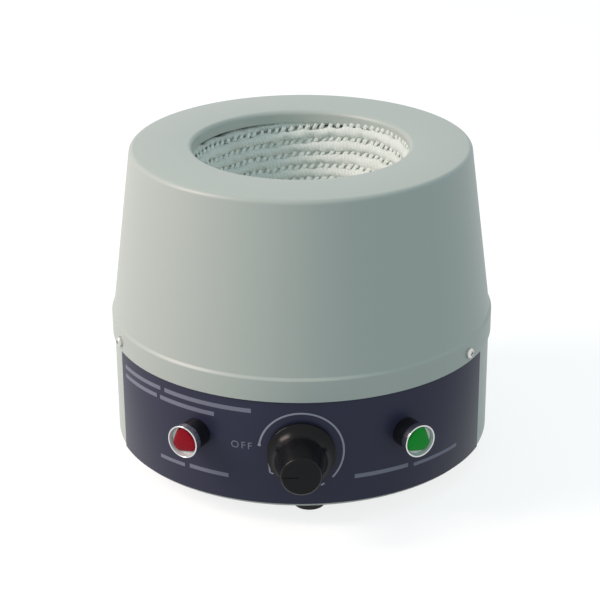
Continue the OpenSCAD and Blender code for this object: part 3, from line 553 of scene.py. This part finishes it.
# %% A map round the rope
def wrap_uv(mesh_edit, count, centre_depth):
    """U counts stitches round the row, and V goes round the rope's section."""
    layer = mesh_edit.loops.layers.uv.new("wrap")
    centre = Vector((math.cos(math.radians(centre_depth)), -math.sin(math.radians(centre_depth)))) * GROOVE_R * MM

    def angles(place):
        off_centre = Vector((place.xy.length, place.z - BOWL_Z * MM)) - centre
        return math.atan2(place.y, place.x), math.atan2(off_centre.y, off_centre.x)

    for face in mesh_edit.faces:
        middle = angles(face.calc_center_median())
        for loop in face.loops:     # whole turns are added, so that no face is stretched across the seam
            u, v = (angle + FULL_TURN * round((near - angle) / FULL_TURN)
                    for angle, near in zip(angles(loop.vert.co), middle))
            loop[layer].uv = (u / FULL_TURN * count, v / FULL_TURN)


print("the map repeats", stitches_in(0), "times round the rim")

# %% One row of rope
ROPE_CREST = 53.1
ROPE_HALF = 2.75
ROPE_SIDES = 14
ROPE_STEPS = 170
UNEVEN = 0.010
UNEVEN_SCALE = 260


def rope_row(depth, half_height, steps, crest=ROPE_CREST, back=BACK_R):
    """A ring of rope at a depth in degrees: an oval section, spun round and made a little uneven."""
    ring = bmesh.new()
    bmesh.ops.create_circle(ring, segments=ROPE_SIDES, radius=1.0, cap_ends=False)
    turned(ring, QUARTER_TURN, "X")
    bmesh.ops.scale(ring, vec=((back - crest) / 2 * MM, 1, half_height * MM), verts=ring.verts[:])
    turned(ring, math.radians(depth), "Y")
    middle = (back + crest) / 2
    moved(ring, middle * math.cos(math.radians(depth)), 0, BOWL_Z - middle * math.sin(math.radians(depth)))
    spin_round(ring, steps)
    wrap_uv(ring, stitches_in(depth), depth)
    for vert in ring.verts:
        vert.co *= 1 + UNEVEN * noise.noise(vert.co * UNEVEN_SCALE)
        settle(vert.co)
    return ring


print("a rope is", round(BACK_R - ROPE_CREST, 1), "mm thick")


# %% All the rows
def join_into(target, part):
    """Adds one bmesh to another through a throwaway mesh."""
    carrier = bpy.data.meshes.new("carrier")
    part.to_mesh(carrier)
    part.free()
    target.from_mesh(carrier)
    bpy.data.meshes.remove(carrier)


ropes = bmesh.new()
for row in range(ROWS):
    row_depth = (row + 0.5) * ROW_PITCH
    row_steps = max(24, round(ROPE_STEPS * math.cos(math.radians(row_depth))))
    join_into(ropes, rope_row(row_depth, ROPE_HALF, row_steps))
keep_piece("rope_rows", ropes, rope_finish, stands_for=["heating_bowl"], turn_out=False)

# %% [markdown]
# ## The stitches
#
# A stitch is a short arch of yarn from the lower flank of one rope to the upper flank of the next. A curve with
# a round bevel could be used, but a small circle spun through half a turn is such an arch with few faces. It is
# made once, leaned over, and copied round each groove with a little random change, because no hand stitch is the
# same as the last.

# %% One stitch
YARN_R = 0.46
ARCH_SIDES = 6
ARCH_STEPS = 5
PLY_GAP = 0.72
PLY_LIFT = 0.15
UV_ALONG, UV_ACROSS = 0.5, 0.3


def stitch_arch():
    """An arch of yarn in the XZ plane, standing 1 mm above and below the origin and bulging to -X."""
    arch = bmesh.new()
    bmesh.ops.create_circle(arch, segments=ARCH_SIDES, radius=YARN_R * MM, cap_ends=True)
    moved(arch, 1.0, 0, 0)
    bmesh.ops.spin(arch, geom=arch.faces[:], cent=(0, 0, 0), axis=(0, 1, 0), dvec=(0, 0, 0), angle=-math.pi,
                   steps=ARCH_STEPS, use_merge=False, use_normal_flip=False, use_duplicate=False)
    turned(arch, -QUARTER_TURN, "Y")
    return arch


def stitch_mesh():
    """Three plies side by side, the middle one standing a little higher."""
    plies = bmesh.new()
    for side in (-1, 0, 1):
        ply = stitch_arch()
        moved(ply, (abs(side) - 1) * PLY_LIFT, side * PLY_GAP, 0)
        join_into(plies, ply)
    bmesh.ops.recalc_face_normals(plies, faces=plies.faces[:])
    layer = plies.loops.layers.uv.new("wrap")
    for face in plies.faces:
        for loop in face.loops:
            loop[layer].uv = (loop.vert.co.z / MM * UV_ALONG, loop.vert.co.y / MM * UV_ACROSS)
    mesh = bpy.data.meshes.new("stitch")
    plies.to_mesh(mesh)
    plies.free()
    return mesh


one_stitch = stitch_mesh()
print("one stitch:", len(one_stitch.polygons), "faces")

# %% All the stitches
STITCH_LEAN = 32
STITCH_REACH, STITCH_SINK = 1.75, 0.35
TOP_REACH, TOP_SINK = 1.35, -0.7
random.seed(7)


def stitch_place(row, index, count):
    """The matrix that puts one stitch in its groove, each a little different from the last."""
    lean = math.radians(STITCH_LEAN + random.uniform(-9, 9))
    around = FULL_TURN * (index + 0.5 * (row % 2) + random.uniform(-0.12, 0.12)) / count
    reach = (STITCH_REACH if row else TOP_REACH) + random.uniform(-0.2, 0.2)
    shape = Matrix.Diagonal((random.uniform(0.9, 1.3), random.uniform(0.8, 1.1), reach, 1))
    tip = Matrix.Rotation(lean, 4, "X")
    out = Matrix.Translation(((GROOVE_R - (STITCH_SINK if row else TOP_SINK)) * MM, 0, 0))
    down = Matrix.Rotation(math.radians(row * ROW_PITCH), 4, "Y")
    turn = Matrix.Rotation(around, 4, "Z")
    lift = Matrix.Translation((0, 0, BOWL_Z * MM))
    return lift @ turn @ down @ out @ tip @ shape


stitches = bmesh.new()
total = 0
for row in range(ROWS):
    count = stitches_in(row * ROW_PITCH)
    for index in range(count):
        start = len(stitches.verts)
        stitches.from_mesh(one_stitch)
        stitches.verts.ensure_lookup_table()
        bmesh.ops.transform(stitches, matrix=stitch_place(row, index, count), verts=stitches.verts[start:])
        total += 1
for vert in stitches.verts:
    settle(vert.co)
bpy.data.meshes.remove(one_stitch)
keep_piece("stitch_rows", stitches, stitch_finish, turn_out=False)
print("stitches:", total)

# %% [markdown]
# ## The backing cloth
#
# Behind the stitches the ropes lie on a cloth. It is what shows, in deep shade, through the small openings, and
# at the rim it turns outwards as a hem under the cover. A cloth simulation could drape it, but here it is pulled
# tight over a round form, and an outline spun round and given a thin wall is that form.

# %% Backing cloth and hem
CLOTH_R = 55.5
CLOTH_T = 0.6
CLOTH_STEPS = 120
HEM_R = 73.0
HEM_Z = BOWL_Z - 1.1

hollow = [(CLOTH_R * math.cos(math.radians(depth)), BOWL_Z - CLOTH_R * math.sin(math.radians(depth)), 0)
          for depth in range(84, 5, -6)]
hem = [(BACK_R + 0.2, HEM_Z, 1.5), (HEM_R, HEM_Z, 0)]
backing = spin_round(section([(0, BOWL_Z - CLOTH_R, 0)] + hollow + hem), CLOTH_STEPS)
backing_uv = backing.loops.layers.uv.new("wrap")
for face in backing.faces:
    for loop in face.loops:
        loop[backing_uv].uv = (loop.vert.co.x / (STITCH_PITCH * MM), loop.vert.co.y / (STITCH_PITCH * MM))
bmesh.ops.solidify(backing, geom=backing.faces[:], thickness=CLOTH_T * MM)
for vert in backing.verts:
    settle(vert.co)
keep_piece("backing_cloth", backing, cloth_finish)

# %% [markdown]
# ## The roll of the rim
#
# The last turn of rope lies behind the collar's lower edge and fills the space there. It could be one more row of
# the bowl, but it is thinner than the others, and it stands a little higher at the front and back. So it is a row
# of its own, made by the same helper, and the rise is added as a wave that has two crests in one turn.

# %% Roll of the rim
ROLL_DEPTH = -1.2
ROLL_HALF = 2.7
ROLL_CREST, ROLL_BACK = 56.6, 60.4
ROLL_RISE, ROLL_RISE_AT = 0.9, 1.48

rim_roll = rope_row(ROLL_DEPTH, ROLL_HALF, ROPE_STEPS, crest=ROLL_CREST, back=ROLL_BACK)
for vert in rim_roll.verts:
    vert.co.z += ROLL_RISE * MM * max(0.0, math.cos(2 * (math.atan2(vert.co.y, vert.co.x) - ROLL_RISE_AT)))
keep_piece("rim_roll", rim_roll, rope_finish, turn_out=False)

# %% [markdown]
# ## The panel
#
# The panel is a thin dark film on the front of the drum. It could be a flat sheet that a modifier bends, but a
# small rectangle spun through part of a turn is round from the start. The two outer corners of the rectangle are
# rounded first, so that the film's long edges catch a thin line of light.

# %% Panel film
BASE_R = 98.9
PANEL_R = 99.45
PANEL_LOW = 12.8
PANEL_HIGH = 68.4
PANEL_SPAN = 135.5
PANEL_BEARING = -0.6
FILM_GAP = 0.05
FILM_EDGE = 0.18
FILM_STEPS = 100

film = section([
    (BASE_R + FILM_GAP, PANEL_LOW, 0), (PANEL_R, PANEL_LOW, FILM_EDGE), (PANEL_R, PANEL_HIGH, FILM_EDGE),
    (BASE_R + FILM_GAP, PANEL_HIGH, 0)], closed=True, segments=3)
bmesh.ops.edgenet_fill(film, edges=film.edges[:])
turned(film, math.radians(PANEL_BEARING - 90 - PANEL_SPAN / 2), "Z")
bmesh.ops.spin(film, geom=film.faces[:], cent=(0, 0, 0), axis=(0, 0, 1), dvec=(0, 0, 0),
               angle=math.radians(PANEL_SPAN), steps=FILM_STEPS, use_merge=False, use_normal_flip=False,
               use_duplicate=False)
keep_piece("panel_film", film, finishes["panel_film"], stands_for=["control_panel"])

# %% [markdown]
# ## The print on the panel
#
# The print is a dial arc with its end marks, the word at the start of the dial, and plain bars where a maker
# would put words. A picture on the film could carry it, but a picture blurs when it is seen close. So each print
# piece is drawn flat, as if the film were unrolled, and then rolled onto the drum, a hair above the film.

# %% Ink, and rolling flat print onto the drum
PRINT_LIFT = 0.03
ink = finish("print ink", (150, 150, 164), 0.55, 0.15, 0.4, 0.004)
faint_ink = finish("faint print ink", (112, 113, 130), 0.55, 0.30, 0.4, 0.004)


def roll_on(flat):
    """Rolls a bmesh drawn in the XZ plane, X along the film, onto the panel's face."""
    radius = (PANEL_R + PRINT_LIFT) * MM
    for vert in flat.verts:
        angle = vert.co.x / radius
        vert.co = Vector((radius * math.sin(angle), -radius * math.cos(angle), vert.co.z))


def print_strip(flat, length, height, pieces):
    """A strip in the XZ plane, cut into short lengths so that it can bend."""
    verts = bmesh.ops.create_grid(flat, x_segments=pieces, y_segments=1, size=0.5)["verts"]
    turned(flat, QUARTER_TURN, "X", verts)
    bmesh.ops.scale(flat, vec=(length * MM, 1, height * MM), verts=verts)
    return verts


print("the print stands", PRINT_LIFT, "mm off the film")

# %% Marks round the dial
DIAL_Z = 41.7


def print_arc(flat, radius, width, first, last):
    """A band about the dial from one angle to another, spun from a short radial edge."""
    verts = [flat.verts.new((radius + side * width / 2, 0, 0)) for side in (-1, 1)]
    edge = flat.edges.new(verts)
    bmesh.ops.scale(flat, vec=(MM, MM, MM), verts=verts)
    turned(flat, -math.radians(first), "Y", verts)
    before = set(flat.verts) - set(verts)
    steps = max(3, round(abs(last - first) / 4))
    bmesh.ops.spin(flat, geom=verts + [edge], cent=(0, 0, 0), axis=(0, 1, 0), dvec=(0, 0, 0),
                   angle=-math.radians(last - first), steps=steps, use_merge=False, use_normal_flip=False,
                   use_duplicate=False)
    moved(flat, 0, 0, DIAL_Z, [vert for vert in flat.verts if vert not in before])


def print_stroke(flat, start, end, width):
    """A short straight stroke between two places measured from the dial's axis."""
    along = Vector((end[0] - start[0], 0, end[1] - start[1]))
    verts = print_strip(flat, along.length, width, 2)
    turned(flat, -math.atan2(along.z, along.x), "Y", verts)
    moved(flat, (start[0] + end[0]) / 2, 0, DIAL_Z + (start[1] + end[1]) / 2, verts)


print("the dial's axis is", DIAL_Z, "mm above the bench")

# %% Dial scale
DIAL_ARCS = ((21.0, 0.95, 171.5, -43), (20.9, 1.4, 173.5, 169.5), (20.8, 0.9, -62.5, -57))
END_MARK = ((-16.6, -2.4), (-15.5, -11.7), (-13.8, -12.4))
END_MARK_W = 0.8

dial_print = bmesh.new()
for arc in DIAL_ARCS:
    print_arc(dial_print, *arc)
for start, end in zip(END_MARK, END_MARK[1:]):
    print_stroke(dial_print, start, end, END_MARK_W)
roll_on(dial_print)
keep_piece("dial_scale", dial_print, ink)

# %% Bars where words would be
TITLE_BARS = ((-113, -78, 60.4, 62.6, 0.035), (-75, -24.6, 61.6, 63.9, 0), (-113, -81, 55.5, 57.7, 0.035),
              (-78.5, -44.1, 56.7, 59.0, 0))
CAPTION_BARS = ((-79.5, -62.5, 23.6, 25.6, 0.02), (-59.5, -37, 24.4, 26.6, 0), (26.5, 56, 25.4, 27.6, 0),
                (59.5, 91, 24.7, 26.6, 0))

bars = bmesh.new()
for left, right, low, high, tilt in TITLE_BARS + CAPTION_BARS:
    bar = print_strip(bars, right - left, high - low, max(2, round((right - left) / 2)))
    moved(bars, (left + right) / 2, 0, (low + high) / 2, bar)
    for vert in bar:
        vert.co.z += tilt * (vert.co.x - left * MM)
roll_on(bars)
keep_piece("word_bars", bars, faint_ink)

# %% The word at the dial's start
WORD_LEFT = -35.4
WORD_LOW, WORD_HIGH = 41.7, 45.6
CAPITALS = 1.38
SPACING = 1.30

text = bpy.data.curves.new("off_word", "FONT")
text.body = "OFF"
text.size = (WORD_HIGH - WORD_LOW) * CAPITALS * MM
text.space_character = SPACING
text_object = bpy.data.objects.new("off_word_text", text)
scene.collection.objects.link(text_object)
bpy.context.view_layer.update()
text_mesh = bpy.data.meshes.new_from_object(text_object.evaluated_get(bpy.context.evaluated_depsgraph_get()))
letters = bmesh.new()
letters.from_mesh(text_mesh)
bpy.data.objects.remove(text_object)
bpy.data.curves.remove(text)
bpy.data.meshes.remove(text_mesh)
turned(letters, QUARTER_TURN, "X")
moved(letters, WORD_LEFT, 0, WORD_LOW)
roll_on(letters)
keep_piece("off_word", letters, faint_ink)

# %% [markdown]
# ## The knob
#
# The knob is one moulding: a low skirt over the panel and a tapered grip, with a short groove in its face as a
# pointer. The groove could be a line of ink, but a real cut makes its own shade. So the knob is an outline spun
# about its own axis, a thin box is taken out of its face, and the whole is stood out from the panel. It rides on
# the dial, so that it turns with it.

# %% Cutting one shape out of another
def cut_away(target, cutter):
    """Takes one closed bmesh out of another, by way of a Boolean modifier on two throwaway objects."""
    objects = []
    for label, part in (("cut_target", target), ("cut_tool", cutter)):
        mesh = bpy.data.meshes.new(label)
        part.to_mesh(mesh)
        part.free()
        objects.append(bpy.data.objects.new(label, mesh))
        scene.collection.objects.link(objects[-1])
    difference = objects[0].modifiers.new("difference", "BOOLEAN")
    difference.operation = "DIFFERENCE"
    difference.solver = "EXACT"
    difference.object = objects[1]
    bpy.context.view_layer.update()
    result = bpy.data.meshes.new_from_object(objects[0].evaluated_get(bpy.context.evaluated_depsgraph_get()))
    cut = bmesh.new()
    cut.from_mesh(result)
    bpy.data.meshes.remove(result)
    for thing in objects:
        mesh = thing.data
        bpy.data.objects.remove(thing)
        bpy.data.meshes.remove(mesh)
    print("the cut leaves", len(cut.faces), "faces")
    return cut


def box_edit(low, high):
    """A box between two corners in mm."""
    box = bmesh.new()
    bmesh.ops.create_cube(box, size=1.0)
    bmesh.ops.scale(box, vec=(Vector(high) - Vector(low)) * MM, verts=box.verts[:])
    bmesh.ops.translate(box, vec=(Vector(low) + Vector(high)) / 2 * MM, verts=box.verts[:])
    return box


# %% Standing a piece out from the panel
def stand_out(mesh_edit, bearing, height):
    """Turns local +Z outwards and local +Y up, on the panel's face, at a bearing in degrees from the front."""
    turn = Matrix.Rotation(math.radians(bearing), 4, "Z")
    place = Matrix.Translation((0, -PANEL_R * MM, height * MM))
    bmesh.ops.transform(mesh_edit, matrix=turn @ place @ Matrix.Rotation(QUARTER_TURN, 4, "X"),
                        verts=mesh_edit.verts[:])


print("the panel's face is", PANEL_R, "mm from the axis")

# %% Knob
KNOB_R = 16.9
KNOB_WALL = 3.1
KNOB_CLEAR = 1.2
KNOB_LIP = 1.9
KNOB_REACH = 26.0
KNOB_STEPS = 128
SKIRT_INSIDE = 0.8
FLARE, FLARE_Z, FLARE_ROUND = 2.5, 4.8, 9.0
GRIP_R = 9.8
GRIP_ROUND = 1.6
HUB_R = 8.5
HUB_Z = 4.8
POINTER_W = 0.8
POINTER_D = 0.3

knob_edit = spin_round(section([
    (0, HUB_Z, 0), (HUB_R, HUB_Z, 0.5), (KNOB_R - KNOB_WALL, KNOB_CLEAR + SKIRT_INSIDE, 0),
    (KNOB_R - KNOB_WALL, KNOB_CLEAR, 0), (KNOB_R, KNOB_CLEAR, 0.4), (KNOB_R, KNOB_CLEAR + KNOB_LIP, 0.8),
    (GRIP_R + FLARE, KNOB_CLEAR + FLARE_Z, FLARE_ROUND), (GRIP_R, KNOB_REACH, GRIP_ROUND), (0, KNOB_REACH, 0)],
    segments=7), KNOB_STEPS)
knob_edit = cut_away(knob_edit, box_edit((-GRIP_R - 1, -POINTER_W / 2, KNOB_REACH - POINTER_D),
                                         (-1, POINTER_W / 2, KNOB_REACH + 1)))
stand_out(knob_edit, 0, DIAL_Z)
keep_piece("knob_moulding", knob_edit, finishes["knob_black"], body="dial", stands_for=["knob"])

# %% [markdown]
# ## The lamps
#
# Each lamp is a black holder with a bright bezel and a coloured jewel. The jewel is a round bar with three soft
# flats. A cylinder cut by three planes would have hard corners there, so its outline comes from a radius that
# changes with the angle. Its face rises in steps that get smaller, like a cut stone, and it sits a little inside
# the bezel. The bezel is a spun ring, and a satin mouth lies between the two.

# %% Jewel
JEWEL_R = 7.0
JEWEL_FLAT = 5.6
JEWEL_TURN = 10
JEWEL_SOFT = 14
JEWEL_SIDES = 72
JEWEL_FOOT = 0.9
JEWEL_STEPS = ((1.0, 2.1), (0.985, 2.4), (0.93, 2.7), (0.84, 2.92), (0.62, 3.08), (0.3, 3.15))


def jewel_radius(angle, side):
    """Distance from the axis to the jewel's outline, with its flats blended softly into the round corners."""
    nearest = min(abs((angle - math.radians(-90 - side * JEWEL_TURN + 120 * k) + math.pi) % FULL_TURN - math.pi)
                  for k in range(3))
    flat = JEWEL_FLAT / math.cos(nearest)
    return (JEWEL_R ** -JEWEL_SOFT + flat ** -JEWEL_SOFT) ** (-1 / JEWEL_SOFT)


def angle_of(place):
    """The angle of a place about the lamp's axis."""
    return math.atan2(place.y, place.x)


def lamp_jewel(side):
    """A jewel on its lamp's axis, with a stepped, rounded face."""
    jewel = bmesh.new()
    ring = bmesh.ops.create_circle(jewel, segments=JEWEL_SIDES, radius=1.0, cap_ends=True)["verts"]
    for vert in ring:
        angle = angle_of(vert.co)
        vert.co = Vector((math.cos(angle), math.sin(angle), 0)) * jewel_radius(angle, side) * MM
        vert.co.z = JEWEL_FOOT * MM
    outline = sorted((vert.co.copy() for vert in ring), key=angle_of)
    face = jewel.faces[:]
    for scale, height in JEWEL_STEPS:
        made = bmesh.ops.extrude_face_region(jewel, geom=face)["geom"]
        bmesh.ops.delete(jewel, geom=face, context="FACES_ONLY")
        face = [item for item in made if isinstance(item, bmesh.types.BMFace)]
        for vert, place in zip(sorted(face[0].verts, key=lambda v: angle_of(v.co)), outline):
            vert.co = Vector((place.x * scale, place.y * scale, height * MM))
    return jewel


print("the jewel is", round(JEWEL_STEPS[-1][1] - JEWEL_FOOT, 2), "mm thick")

# %% Bezel and mouth
BEZEL_R = 8.45
BEZEL_H = 4.0
BEZEL_BORE = 6.85
BEZEL_SEAT = 1.2
MOUTH_R = 7.3
WINDOW_R = 4.5
MOUTH_LOW, MOUTH_FACE = 0.95, 1.5
LAMP_STEPS = 96
mouth_finish = finish("lamp reflector", (205, 208, 206), 0.45, 0.06, 0.6, 0.002, Metallic=0.3)


def lamp_bezel():
    """The bright bezel: a ring with a rounded rim."""
    return spin_round(section([
        (BEZEL_BORE, 0, 0), (BEZEL_R, 0, 0.25), (BEZEL_R, BEZEL_H, 0.3), (BEZEL_R - 0.62, BEZEL_H, 0.28),
        (MOUTH_R, BEZEL_SEAT, 0)], closed=True), LAMP_STEPS)


def lamp_mouth():
    """The satin floor and flared wall that lie between the bezel's rim and the jewel."""
    return spin_round(section([
        (WINDOW_R, MOUTH_LOW, 0), (MOUTH_R, MOUTH_LOW, 0), (BEZEL_R - 0.55, BEZEL_H - 0.25, 0),
        (BEZEL_R - 0.75, BEZEL_H - 0.22, 0), (MOUTH_R - 0.2, MOUTH_FACE, 0.5), (WINDOW_R, MOUTH_FACE, 0)],
        closed=True), LAMP_STEPS)


print("the bezel is", 2 * BEZEL_R, "mm across")

# %% Both lamps
LAMP_BEARING = 31.2
LAMP_Z = 45.7
LAMP_REACH = 9.0
JEWEL_CRISP = math.radians(50)


def on_lamp(mesh_edit, side):
    """Puts a piece of a lamp at the end of its holder."""
    moved(mesh_edit, 0, 0, LAMP_REACH)
    stand_out(mesh_edit, side * LAMP_BEARING, LAMP_Z)
    return mesh_edit


for side, colour in ((-1, "red"), (1, "green")):
    keep_piece(colour + "_jewel", on_lamp(lamp_jewel(side), side), finishes[colour + "_lens"],
               stands_for=[colour + "_lamp_lens"], crisp=JEWEL_CRISP)
    keep_piece(colour + "_bezel", on_lamp(lamp_bezel(), side), finishes["bezel_chrome"],
               stands_for=[colour + "_lamp_bezel"])
    keep_piece(colour + "_mouth", on_lamp(lamp_mouth(), side), mouth_finish)

# %% [markdown]
# ## The feet
#
# Each rubber foot is a short cone with a sunk seat for its screw. Rubber is moulded, so every edge is soft. A
# bevel modifier could round them all alike, but in an outline each edge has a rounding of its own.

# %% Feet
FOOT_RING = 75.0
FOOT_TURN = 2.9
FOOT_H = 8.0
FOOT_LOW_R, FOOT_HIGH_R = 8.0, 8.6
FOOT_BORE = 2.2
SEAT_R = 5.04
SEAT_Z = 3.0
FOOT_STEPS = 72

for number in range(3):
    foot_edit = spin_round(section([
        (FOOT_BORE, SEAT_Z, 0), (SEAT_R, SEAT_Z, 0.3), (SEAT_R, 0, 0.3), (FOOT_LOW_R, 0, 0.6),
        (FOOT_HIGH_R, FOOT_H, 0.3), (FOOT_BORE, FOOT_H, 0)], closed=True, segments=4), FOOT_STEPS)
    bearing = math.radians(FOOT_TURN + 120 * number)
    bmesh.ops.translate(foot_edit, verts=foot_edit.verts[:],
                        vec=Vector((math.sin(bearing), -math.cos(bearing), 0)) * FOOT_RING * MM)
    keep_piece(f"rubber_foot_{number + 1}", foot_edit, finishes["foot_rubber"],
               stands_for=[f"foot_{number + 1}"])

# %% [markdown]
# ## The floor
#
# The mantle stands on a plain pale floor. For the camera and for mirrors it is as white as the background, and
# it still takes the object's shadow. A floor that is simply white would throw too much light up from below, so
# as a source of bounced light it is a middle grey. Its underside is clear, so the feet and the vents can be seen
# from below.

# %% Floor material
SHOWN_GREY = (0.28, 0.28, 0.28, 1)
SHOWN_GLOW = 0.80

floor_material = bpy.data.materials.new("pale floor")
floor_material.use_nodes = True
floor_tree = floor_material.node_tree
floor_tree.nodes.clear()
shown = add_node(floor_tree, "BsdfPrincipled", {
    "Base Color": SHOWN_GREY, "Roughness": 0.9, "Specular IOR Level": 0.0, "Emission Color": WHITE,
    "Emission Strength": SHOWN_GLOW})
bounce = add_node(floor_tree, "BsdfDiffuse", {"Color": GREY})
upper = add_node(floor_tree, "MixShader", {0: seen_directly(floor_tree), 1: bounce.outputs[0], 2: shown.outputs[0]})
below = add_node(floor_tree, "NewGeometry").outputs["Backfacing"]
clear = add_node(floor_tree, "BsdfTransparent")
surface = add_node(floor_tree, "MixShader", {0: below, 1: upper.outputs[0], 2: clear.outputs[0]})
add_node(floor_tree, "OutputMaterial", {"Surface": surface.outputs[0]})
print("floor material has", len(floor_tree.nodes), "nodes")

# %% Floor
FLOOR_SIZE = 8.0
FLOOR_DROP = 0.0002

floor_edit = bmesh.new()
bmesh.ops.create_grid(floor_edit, x_segments=1, y_segments=1, size=FLOOR_SIZE / 2)
floor_mesh = bpy.data.meshes.new("floor")
floor_edit.to_mesh(floor_mesh)
floor_edit.free()
floor_mesh.materials.append(floor_material)
floor = bpy.data.objects.new("floor", floor_mesh)
scene.collection.objects.link(floor)
floor.location.z = -FLOOR_DROP
print("floor is", FLOOR_SIZE, "m wide")
